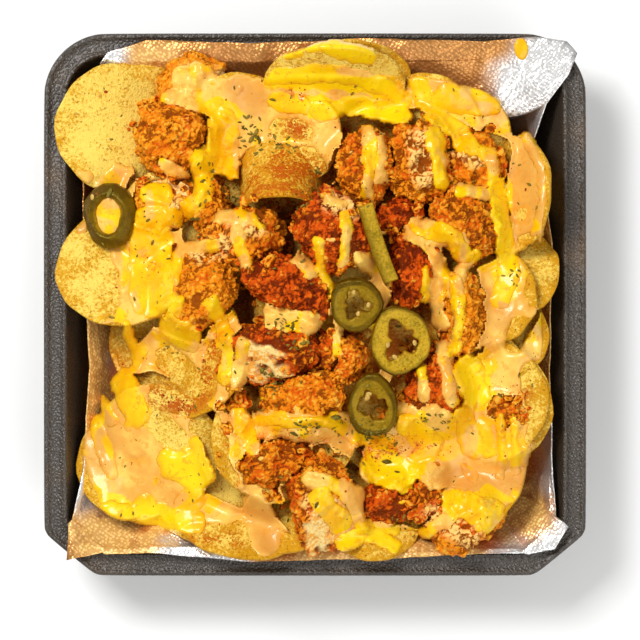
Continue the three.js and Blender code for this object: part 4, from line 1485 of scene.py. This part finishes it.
class NACHOS_OT_jalapenos(Operator):
    """Makes the slices and the strip of pickled jalapeno"""

    bl_idname = "nachos.jalapenos"
    bl_label = "Pickled jalapeno"

    def execute(self, context):
        settings = context.scene.nachos_jalapenos
        material = jalapeno_finish(settings)
        for number, slice_ in enumerate(JALAPENOS):
            piece = jalapeno_slice(number, slice_, settings)
            finish_piece(piece, material, f"jalapeno_{number + 1}", slot="jalapeno")
        finish_piece(jalapeno_strip(settings), material, STRIP_NODE, slot="jalapeno")
        finish_piece(seeds(), seed_finish(settings))
        return {"FINISHED"}


# ---- Sauces -------------------------------------------------------------------------------------

LAID_HALF = 108.0  # half of the square that is looked down on, mm
LOOK_FROM = 0.2  # height that it is looked down on from
STEEPEST = 1.5  # rise over run of the steepest sauce
HANG_STEPS = 12
UNDER = 0.9  # how deep an edge of sauce runs on below what it lies on, mm
EDGE = 0.6  # how far outside its outline that edge ends, mm
DRAPE = 2.6  # how far below the sheet of sauce its edge may lie, mm
ROUNDED = 2.0  # width of a sauce's rounded edge, mm
# How far inside their outlines the sauces lie on plain food, where nothing was poured, mm.
PEACH_ON_CHIPS = 3.4
PEACH_ON_CHICKEN = -2.9
STRAY_CHEESE = -2.6
OPEN_GAP = 3.5  # how deep below its sheet of sauce a gap of the heap stays open, mm
SLICE_LAP = 0.8  # how far the sauces reach over the edge of a slice, mm
SEEN_FOOD = ("embossed_foil", "tortilla_chips", "chip_core", "fried_chicken", "crust_bits")
CRUSTED = (3, 4)  # which of them are crusted
STRIP_WAY = (3.0, (21.5, 41), (30.5, 10))  # where the strip of pepper lies: half-width, then its ends, mm


class Overhead:
    """The tray seen from above, on a square grid: the height of what shows, in mm, and which it is."""

    def __init__(self, pitch, names):
        count = 2 * round(LAID_HALF / pitch) + 1
        line = (np.arange(count) - count // 2) * pitch
        self.pitch = pitch
        self.x, self.y = np.meshgrid(line, line)
        self.flat = np.column_stack((self.x.ravel(), self.y.ravel(), np.zeros(self.x.size)))
        self.top = np.zeros(self.x.shape)
        self.kind = np.full(self.x.shape, -1)
        graph = bpy.context.evaluated_depsgraph_get()
        for piece in list(bpy.context.scene.objects):
            for kind, name in enumerate(names):
                if piece.type == "MESH" and piece.name.startswith(name):
                    self._look(piece, kind, BVHTree.FromObject(piece, graph))
        slope_y, slope_x = np.gradient(self.top, pitch)
        self.normal = np.dstack((-slope_x, -slope_y, np.ones(self.x.shape)))

    def _look(self, piece, kind, tree):
        points = points_of(piece) / MM
        low, high = points.min(axis=0), points.max(axis=0)
        near = (self.x > low[0]) & (self.x < high[0]) & (self.y > low[1]) & (self.y < high[1])
        down = Vector((0, 0, -1))
        for row, column in np.argwhere(near).tolist():
            start = Vector((self.x[row, column] * MM, self.y[row, column] * MM, LOOK_FROM))
            hit = tree.ray_cast(start, down)[0]
            if hit and hit.z / MM > self.top[row, column]:
                self.top[row, column] = hit.z / MM
                self.kind[row, column] = kind

    def cell(self, x, y):
        """Row and column of a place."""
        middle = len(self.top) // 2
        return round(y / self.pitch) + middle, round(x / self.pitch) + middle

    def waves(self, spacing, seed):
        """Noise of about -1 to 1 at each place, with bumps of the given spacing."""
        return ripples(self.flat, spacing, seed).reshape(self.x.shape)

    def share_in(self, ways, reach=2):
        """How far each place lies inside the ways, from 0 to 1."""
        return smoothstep(way_depth(self.flat[:, :2], ways), -3, reach).reshape(self.x.shape)

    def share_of(self, seen):
        """How much of the surroundings of each place is among those that are seen, from 0 to 1."""
        return soften(seen.astype(float), 1.0 / self.pitch)


def hung(field, slope):
    """The lowest sheet over a field of heights that is nowhere steeper than the slope."""
    for _ in range(HANG_STEPS):
        for down, right in ((0, 1), (0, -1), (1, 0), (-1, 0), (1, 1), (1, -1), (-1, 1), (-1, -1)):
            fall = slope * math.hypot(down, right)
            field = np.maximum(field, np.roll(field, (down, right), (0, 1)) - fall)
    return field


def soften(field, spread):
    """Blurs a field; the spread is in cells."""
    reach = math.ceil(3 * spread)
    weights = np.exp(-0.5 * (np.arange(-reach, reach + 1) / spread) ** 2)
    for _ in range(2):
        padded = np.pad(field, ((reach, reach), (0, 0)), mode="edge")
        field = sum(w * padded[k : k + len(field)] for k, w in enumerate(weights / weights.sum())).T
    return field


def keep_faces(piece, keep):
    """Deletes the faces with any point that isn't kept."""
    with editing(piece):
        drop = {k for k, kept in enumerate(keep.tolist()) if not kept}
        pick(piece, "faces", lambda f: any(v.index in drop for v in f.verts))
        bpy.ops.mesh.delete(type="FACE")
        bpy.ops.mesh.select_mode(type="VERT")
        bpy.ops.mesh.select_all(action="DESELECT")
        bpy.ops.mesh.select_loose()
        bpy.ops.mesh.delete(type="VERT")


def heap_depth(x, y):
    """How far inside the heap's outline each place lies, mm."""
    return HEAP_HALF - (np.abs(x) ** HEAP_CORNER + np.abs(y) ** HEAP_CORNER) ** (1 / HEAP_CORNER)


def slice_depth(x, y):
    """How far inside the outline of a jalapeno slice each place lies, mm. An opening counts as outside."""
    depth = np.full(x.shape, -50.0)
    for number, (x0, y0, across, along, *_) in enumerate(JALAPENOS):
        share = np.hypot((x - x0) / across, (y - y0) / along)
        inside = (1 - share) * across
        if number == DOMED_SLICE:
            inside = np.minimum(inside, (share - OPEN_SHARE) * across)
        depth = np.maximum(depth, inside)
    places = np.column_stack((x.ravel(), y.ravel()))
    return np.maximum(depth, way_depth(places, [STRIP_WAY]).reshape(x.shape))


def sauce_depths(above, crusted, sunk):
    """How far inside each sauce's outline each place lies, mm: peach, then cheese."""
    wander = [1.5 * above.waves(8, 20 + k) + 0.9 * above.waves(3.2, 30 + k) for k in range(2)]
    places = np.column_stack([(line + w).ravel() for line, w in zip((above.x, above.y), wander)])

    def ways(stops):
        return way_depth(places, stops).reshape(above.x.shape)

    inside = heap_depth(above.x, above.y)
    on_food = np.maximum(inside + 1, 5 * (above.share_of(above.kind > 0) - 0.6))
    laid = 5 * (above.share_of(above.kind >= 0) - 0.45)
    gap = 2.0 * np.maximum(0, sunk - OPEN_GAP)
    over_chips = PEACH_ON_CHIPS + 5 * above.waves(13, 9) + 1.5 * above.waves(5, 10) - gap
    over_chicken = PEACH_ON_CHICKEN + 4.5 * above.waves(6, 12)
    spread = np.where(crusted, over_chicken, over_chips)
    peach = np.minimum(spread, inside - 2)
    peach = np.maximum(peach, np.minimum(ways(PEACH_POURS), on_food))
    stray = STRAY_CHEESE + 5 * above.waves(8, 15) - gap
    cheese = np.minimum(np.where(crusted, stray - 2, stray), inside - 4)
    cheese = np.maximum(cheese, np.minimum(ways(CHEESE_POURS), on_food))
    bare = ways(BARE_PATCHES)
    peach = np.maximum(np.minimum(peach, -bare), np.minimum(ways(PEACH_POOLS), laid))
    cheese = np.maximum(np.minimum(cheese, 2 - bare), np.minimum(ways(CHEESE_POOLS), laid))
    shut = np.maximum(0, 3 * (slice_depth(above.x, above.y) - SLICE_LAP))
    shut += np.maximum(0, 3 * ways(DARK_GAPS))
    return peach - shut, cheese - shut


def edge_profile(depth, thickness):
    """Height of a sauce over what it lies on: round at its edge, and below it outside."""
    rise = np.sqrt(np.clip((depth + EDGE) / (ROUNDED + EDGE), 0, 1))
    return (UNDER + thickness) * rise - UNDER


def sauce_layer(name, above, height, depth, marks):
    """A sheet of sauce: a grid over the tray, laid at the heights and cut to the sauce's outline."""
    cells = len(above.top) - 1
    side = cells * above.pitch * MM
    add = bpy.ops.mesh.primitive_grid_add
    piece = new_piece(add, name, x_subdivisions=cells, y_subdivisions=cells, size=side)
    points = points_of(piece) / MM
    columns, rows = (np.rint(points[:, k] / above.pitch).astype(int) + cells // 2 for k in range(2))
    points[:, 2] = height[rows, columns]
    place_points(piece, points * MM)
    for key, values in marks.items():
        mark(piece, key, values[rows, columns])
    keep_faces(piece, depth[rows, columns] > -EDGE)
    apply_modifier(piece, "SOLIDIFY", thickness=0.0004, offset=-1)
    return piece


def sauces(settings):
    """The sheets of peach sauce and of cheese sauce, which lie on what shows from above."""
    pitch = settings.pitch / MM
    above = Overhead(pitch, SEEN_FOOD)
    share = soften(np.isin(above.kind, CRUSTED).astype(float), 1.5 / pitch)
    sheet = hung(above.top, STEEPEST * pitch)
    peach, cheese = sauce_depths(above, share > 0.6, sheet - above.top)
    near = np.maximum(soften(above.top, 0.8 / pitch), sheet - DRAPE)
    calm = share * soften(sheet, 0.7 / pitch) + (1 - share) * soften(sheet, 1.5 / pitch)
    calm += 0.75 * np.clip(sheet - calm, 0, 2)
    bed = near + (calm - near) * smoothstep(np.maximum(peach, cheese), -0.4, 1.6)
    swell = (1 + 0.5 * above.waves(6, 41)) * (0.75 + 0.35 * share)
    peach_lift = edge_profile(peach, swell * settings.peach_depth / MM)
    cheese_lift = edge_profile(cheese, swell * settings.cheese_depth / MM)
    bent = above.flat + np.column_stack([6 * ripples(above.flat, 16, 50 + k) for k in range(3)])
    streaks = ripples(bent * np.array((1.0, 0.6, 1.0)), 7, 44).reshape(above.x.shape)
    streaks = np.clip(streaks, -0.5, 0.5) + above.share_in(CHEESE_ONLY) - 0.5 * above.share_in(PEACH_ONLY)
    shared = {
        "spice": above.share_in(SPICED, 4),
        "tan": above.share_in(TANNED),
        "bright": above.share_in(BRIGHT_CHEESE),
    }
    layers = []
    for name, lift, depth, yellow in (
        ("peach_sauce", peach_lift, np.where(cheese > 4, -9, peach), smoothstep(streaks, 0.02, 0.4)),
        ("cheese_sauce", np.maximum(peach_lift, 0) + cheese_lift, cheese, smoothstep(streaks, -0.5, -0.1)),
    ):
        marks = {"yellow": yellow, "thin": smoothstep(depth, 1.6, 0) * (1 - share), **shared}
        layers.append(sauce_layer(name, above, bed + lift, depth, marks))
    return layers


def sauce_finish(settings):
    """Peach sauce and cheese sauce, marbled into each other."""
    finish = Finish(
        "sauce",
        Specular_IOR_Level=0.34,
        Specular_Tint=(1.0, 0.86, 0.62, 1.0),
        Subsurface_Weight=0.12,
        Subsurface_Scale=0.002,
        Subsurface_Radius=(1.0, 0.6, 0.2),
        Coat_Weight=0.3,
        Coat_Roughness=0.12,
    )
    broad = finish.bumps(0.011, 2.0)
    streaks = finish.bumps(0.004, 3.0)
    grain = finish.bumps(0.0012, 3.0, 0.6)
    pale = finish.rise(broad + 0.5 * (streaks - 0.5), 0.3, 0.7)
    peach = finish.mix(pale, settings.peach, settings.peach_light)
    # Painted shade: browner peach in the shaded places.
    peach = finish.mix(0.55 * finish.attribute("tan"), peach, settings.tan)
    cheese = finish.mix(pale, settings.cheese, settings.cheese_light)
    # Painted light: lightened cheese in the lit places.
    cheese = finish.mix(0.7 * finish.attribute("bright"), cheese, settings.cheese_bright)
    yellow = finish.rise(finish.attribute("yellow") + 0.6 * (streaks - 0.5), 0.15, 0.85)
    sauce = finish.mix(yellow, peach, cheese)
    sauce = finish.mix(0.5 * finish.attribute("thin"), sauce, settings.thin)
    sauce = finish.mix(0.5 * finish.rise(streaks + 0.5 * grain, 0.8, 0.95), sauce, settings.streak)
    specks = finish.rise(finish.bumps(0.0013, 1.0), 0.75, 0.79)
    sauce = finish.mix(0.6 * specks, sauce, settings.speck)
    spice = finish.attribute("spice") * finish.rise(0.6 * streaks + 0.6 * grain, 0.58, 0.72)
    finish.paint("Base Color", finish.mix(0.8 * spice, sauce, settings.spice))
    finish.paint("Roughness", 0.22 + 0.18 * streaks)
    finish.relief(streaks + 0.12 * grain, 0.0006, 0.4)
    return finish.material


# The drop on the foil's flap: x, y, radius across and along, turn in degrees, height, mm.
CHEESE_DROP = (86.3, 107, 3.0, 4.8, 8, 0.9)
DROP_SINK = 0.12  # how far its edge lies below the foil, mm
DISC_RINGS = 7
FILLING_SHARE = OPEN_SHARE + 0.12  # share of the slice's radius that the sauce in it takes


def ringed_disc(name):
    """A flat disc of radius 1, set in ring by ring."""
    disc = new_piece(bpy.ops.mesh.primitive_circle_add, name, vertices=32, radius=1, fill_type="NGON")
    with editing(disc):
        bpy.ops.mesh.select_all(action="SELECT")
        for _ in range(DISC_RINGS):
            bpy.ops.mesh.inset(thickness=0.13)
        bpy.ops.mesh.poke()
    return disc


def slice_filling():
    """The sauce that fills the opening of the domed slice."""
    x, y, across, along, up = JALAPENOS[DOMED_SLICE][:5]
    filling = ringed_disc("sauce_in_slice")
    flat = points_of(filling)
    share = np.hypot(flat[:, 0], flat[:, 1])
    local = flat * (np.array((across, along, 1)) * FILLING_SHARE)
    local[:, 2] = 0.9 - 1.1 * share**2 + 0.35 * ripples(local, 3.5, 8)
    middle = np.array((x, y, heap_height(x, y) + up))
    place_points(filling, (local @ slice_turn(JALAPENOS[DOMED_SLICE]).T + middle) * MM)
    apply_modifier(filling, "SOLIDIFY", thickness=0.0006, offset=-1)
    points = points_of(filling) / MM
    mark(filling, "yellow", smoothstep(ripples(points, 4.5, 2), -0.3, 0.2))
    return filling


def cheese_drop():
    """A drop of cheese sauce: a disc laid on the foil and domed."""
    x0, y0, across, along, turn, height = CHEESE_DROP
    graph = bpy.context.evaluated_depsgraph_get()
    surface = BVHTree.FromObject(bpy.data.objects["embossed_foil"], graph)
    drop = ringed_disc("cheese_drop")
    flat = points_of(drop)[:, :2]
    share = np.clip(np.hypot(flat[:, 0], flat[:, 1]), 0, 1)
    turned = turning((math.radians(turn), "Z"))[:2, :2]
    places = (flat * np.array((across, along))) @ turned.T + np.array((x0, y0))
    heights = []
    for x, y in places.tolist():
        hit = surface.ray_cast(Vector((x * MM, y * MM, LOOK_FROM)), Vector((0, 0, -1)))[0]
        heights.append(hit.z / MM if hit else math.nan)
    heights = np.nan_to_num(heights, nan=np.nanmin(heights))
    lift = height * np.sqrt(np.clip(1 - share**4, 0, 1)) - DROP_SINK
    place_points(drop, np.column_stack((places, heights + lift)) * MM)
    apply_modifier(drop, "SOLIDIFY", thickness=0.0003, offset=-1)
    mark(drop, "yellow", np.ones(len(drop.data.vertices)))
    return drop


class NACHOS_OT_sauces(Operator):
    """Pours the peach sauce and the cheese sauce over the heap"""

    bl_idname = "nachos.sauces"
    bl_label = "Sauces"

    def execute(self, context):
        settings = context.scene.nachos_sauces
        material = sauce_finish(settings)
        for layer in sauces(settings):
            finish_piece(layer, material)
        finish_piece(cheese_drop(), material)
        finish_piece(slice_filling(), material)
        return {"FINISHED"}


# ---- Seasoning ----------------------------------------------------------------------------------

SEASONED = (
    "peach_sauce", "cheese_sauce", "tortilla_chips", "fried_chicken", "crust_bits", "pickled_jalapeno",
)
SEASONING_DICE = 23
SEASONED_GRID = 0.7  # pitch of the grid that the seasoning is laid on, mm
WAY_SPREAD = 0.6  # how far from the middle of a way it falls, in the way's radius
SIZE_SPREAD = 0.35  # how much the sizes differ
STRAY_REACH = 92  # how far from the middle stray flakes and grains lie, mm
STRAY_HERBS = 0.3  # share of the flakes that strayed
STRAY_GRAINS = 0.35
LARGEST_TILT = 0.35  # of a flake or grain on what it lies on, radians


def landing_places(ways, count, stray, dice):
    """Random places, most of them in the given ways, and the rest strayed over the heap, mm."""
    places = []
    weights = [radius * (radius + math.dist(stops[0], stops[-1])) for radius, *stops in ways]
    for _ in range(count):
        if dice.random() < stray:
            places.append([dice.uniform(-STRAY_REACH, STRAY_REACH) for _ in range(2)])
            continue
        radius, *stops = dice.choices(ways, weights)[0]
        share = dice.random()
        x, y = (a + (b - a) * share for a, b in zip(stops[0], stops[-1]))
        spread = radius * WAY_SPREAD
        places.append((x + dice.gauss(0, spread), y + dice.gauss(0, spread)))
    return places


def scatter(template, name, places, size, above, dice):
    """Copies of a template, laid on what shows from above."""
    pieces = []
    flat = points_of(template)
    for x, y in places:
        row, column = above.cell(x, y)
        height = above.top[row, column]
        if height < HEAP_EDGE:
            continue
        normal = Vector(above.normal[row, column])
        turn = normal.to_track_quat("Z", "Y").to_matrix() @ Matrix.Rotation(dice.uniform(*ANY_TURN), 3, "Z")
        turn = turn @ Matrix.Rotation(dice.uniform(-LARGEST_TILT, LARGEST_TILT), 3, "X")
        scale = size * math.exp(dice.gauss(0, SIZE_SPREAD))
        middle = np.array((above.x[row, column], above.y[row, column], height)) * MM
        pieces.append(placed_copy(template, name, flat * scale @ np.array(turn).T + middle))
    return join(pieces, name)


def herb_template():
    """A bent flake, pointed at both ends, 1 long."""
    flake = new_piece(bpy.ops.mesh.primitive_cylinder_add, "flake", vertices=8, radius=0.5, depth=0.12)
    points = points_of(flake)
    points[:, 1] *= 0.45 * (1 - 0.5 * np.abs(points[:, 0]))
    points[:, 2] += 0.05 + 0.35 * points[:, 0] ** 2
    place_points(flake, points)
    return flake


def grain_template():
    """A flattened grain, 1 long."""
    grain = new_piece(bpy.ops.mesh.primitive_ico_sphere_add, "grain", subdivisions=1, radius=0.5)
    place_points(grain, points_of(grain) * np.array((1, 0.75, 0.5)))
    return grain


def seasoning_finish(name, main, dark):
    finish = Finish(name, Specular_IOR_Level=0.2, Roughness=0.7)
    patches = finish.bumps(0.003, 3.0)
    finish.paint("Base Color", finish.mix(finish.rise(patches, 0.35, 0.65), main, dark))
    return finish.material


class NACHOS_OT_seasoning(Operator):
    """Scatters herb flakes and red seasoning"""

    bl_idname = "nachos.seasoning"
    bl_label = "Seasoning"

    def execute(self, context):
        settings = context.scene.nachos_seasoning
        dice = random.Random(SEASONING_DICE)
        above = Overhead(SEASONED_GRID, SEASONED)
        flake, grain = herb_template(), grain_template()
        herb_places = landing_places(HERB_PLACES, settings.herbs, STRAY_HERBS, dice)
        herbs = scatter(flake, "herb_flakes", herb_places, settings.herb_size, above, dice)
        grain_places = landing_places(SPICED, settings.grains, STRAY_GRAINS, dice)
        grains = scatter(grain, "red_seasoning", grain_places, settings.grain, above, dice)
        discard(flake)
        discard(grain)
        finish_piece(herbs, seasoning_finish("herb_flakes", settings.herb, settings.herb_dark))
        finish_piece(grains, seasoning_finish("red_seasoning", settings.spice, settings.spice_dark))
        return {"FINISHED"}


# ---- Stage --------------------------------------------------------------------------------------

# Soft square lights: place, side and power.
LIGHTS = {
    "key": ((-0.42, 0.42, 0.9), 0.36, 9.0),
    "fill": ((0.45, -0.6, 0.85), 0.8, 4.6),
}
LIT_PLACE = (0, 0, 0.04)  # where they point


def soft_light(name, place, size, power):
    light = bpy.data.lights.new(name, "AREA")
    light.size = size
    light.energy = power
    lamp = bpy.data.objects.new(name, light)
    lamp.location = place
    lamp.rotation_euler = (Vector(LIT_PLACE) - Vector(place)).to_track_quat("-Z", "Y").to_euler()
    bpy.context.scene.collection.objects.link(lamp)


def floor_piece(settings):
    floor = new_piece(bpy.ops.mesh.primitive_plane_add, "floor", size=4)
    finish = Finish("floor", Roughness=0.9)
    soft = finish.bumps(0.4, 1.0)
    finish.paint("Base Color", finish.mix(0.04 * soft, settings.floor, settings.floor_dark))
    floor.data.materials.append(finish.material)


def look_down(settings):
    """The camera straight over the tray, with the rear of the tray at the top of the view."""
    lens = bpy.data.cameras.new("camera")
    camera = bpy.data.objects.new("camera", lens)
    bpy.context.scene.collection.objects.link(camera)
    camera.location = (settings.view_x, settings.view_y, settings.camera_height)
    rim = TRAY_EDGE_HIGH[1] * MM
    lens.sensor_width = 36
    lens.angle = 2 * math.atan(settings.view_width / 2 / (settings.camera_height - rim))
    lens.clip_start = 0.01
    lens.dof.use_dof = False
    bpy.context.scene.camera = camera


class NACHOS_OT_stage(Operator):
    """Lays the pale floor and sets the soft lights and the camera"""

    bl_idname = "nachos.stage"
    bl_label = "Stage"

    def execute(self, context):
        settings = context.scene.nachos_stage
        floor_piece(settings)
        look_down(settings)
        for name, (place, size, power) in LIGHTS.items():
            soft_light(name, place, size, power)
        world = bpy.data.worlds.new("studio")
        world.use_nodes = True
        sky = world.node_tree.nodes["Background"]
        sky.inputs["Color"].default_value = (1, 1, 1, 1)
        sky.inputs["Strength"].default_value = settings.sky
        context.scene.world = world
        context.scene.view_settings.view_transform = "Standard"
        return {"FINISHED"}


# ---- Panel and registration ---------------------------------------------------------------------

GROUPS = {
    "nachos_tray": TraySettings,
    "nachos_foil": FoilSettings,
    "nachos_chips": ChipSettings,
    "nachos_chicken": ChickenSettings,
    "nachos_jalapenos": JalapenoSettings,
    "nachos_sauces": SauceSettings,
    "nachos_seasoning": SeasoningSettings,
    "nachos_stage": StageSettings,
}
# In the order in which the tray is filled: the sauces lie on the food, and the seasoning on them.
STEPS = [
    NACHOS_OT_tray,
    NACHOS_OT_foil,
    NACHOS_OT_chips,
    NACHOS_OT_chicken,
    NACHOS_OT_jalapenos,
    NACHOS_OT_sauces,
    NACHOS_OT_seasoning,
    NACHOS_OT_stage,
]


class NACHOS_PT_panel(Panel):
    """Lists the pieces of the tray of nachos"""

    bl_idname = "NACHOS_PT_panel"
    bl_label = "Loaded nachos"
    bl_space_type = "VIEW_3D"
    bl_region_type = "UI"
    bl_category = "Nachos"

    def draw(self, context):
        for step in STEPS:
            self.layout.operator(step.bl_idname)


def register():
    for group in GROUPS.values():
        bpy.utils.register_class(group)
    for name, group in GROUPS.items():
        setattr(bpy.types.Scene, name, PointerProperty(type=group))
    for kind in (*STEPS, NACHOS_PT_panel):
        bpy.utils.register_class(kind)


def unregister():
    for kind in (NACHOS_PT_panel, *reversed(STEPS)):
        bpy.utils.unregister_class(kind)
    for name in GROUPS:
        delattr(bpy.types.Scene, name)
    for group in reversed(GROUPS.values()):
        bpy.utils.unregister_class(group)


def main():
    register()
    bpy.ops.nachos.tray()
    bpy.ops.nachos.foil()
    bpy.ops.nachos.chips()
    bpy.ops.nachos.chicken()
    bpy.ops.nachos.jalapenos()
    bpy.ops.nachos.sauces()
    bpy.ops.nachos.seasoning()
    bpy.ops.nachos.stage()
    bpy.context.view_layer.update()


if __name__ == "__main__":
    main()
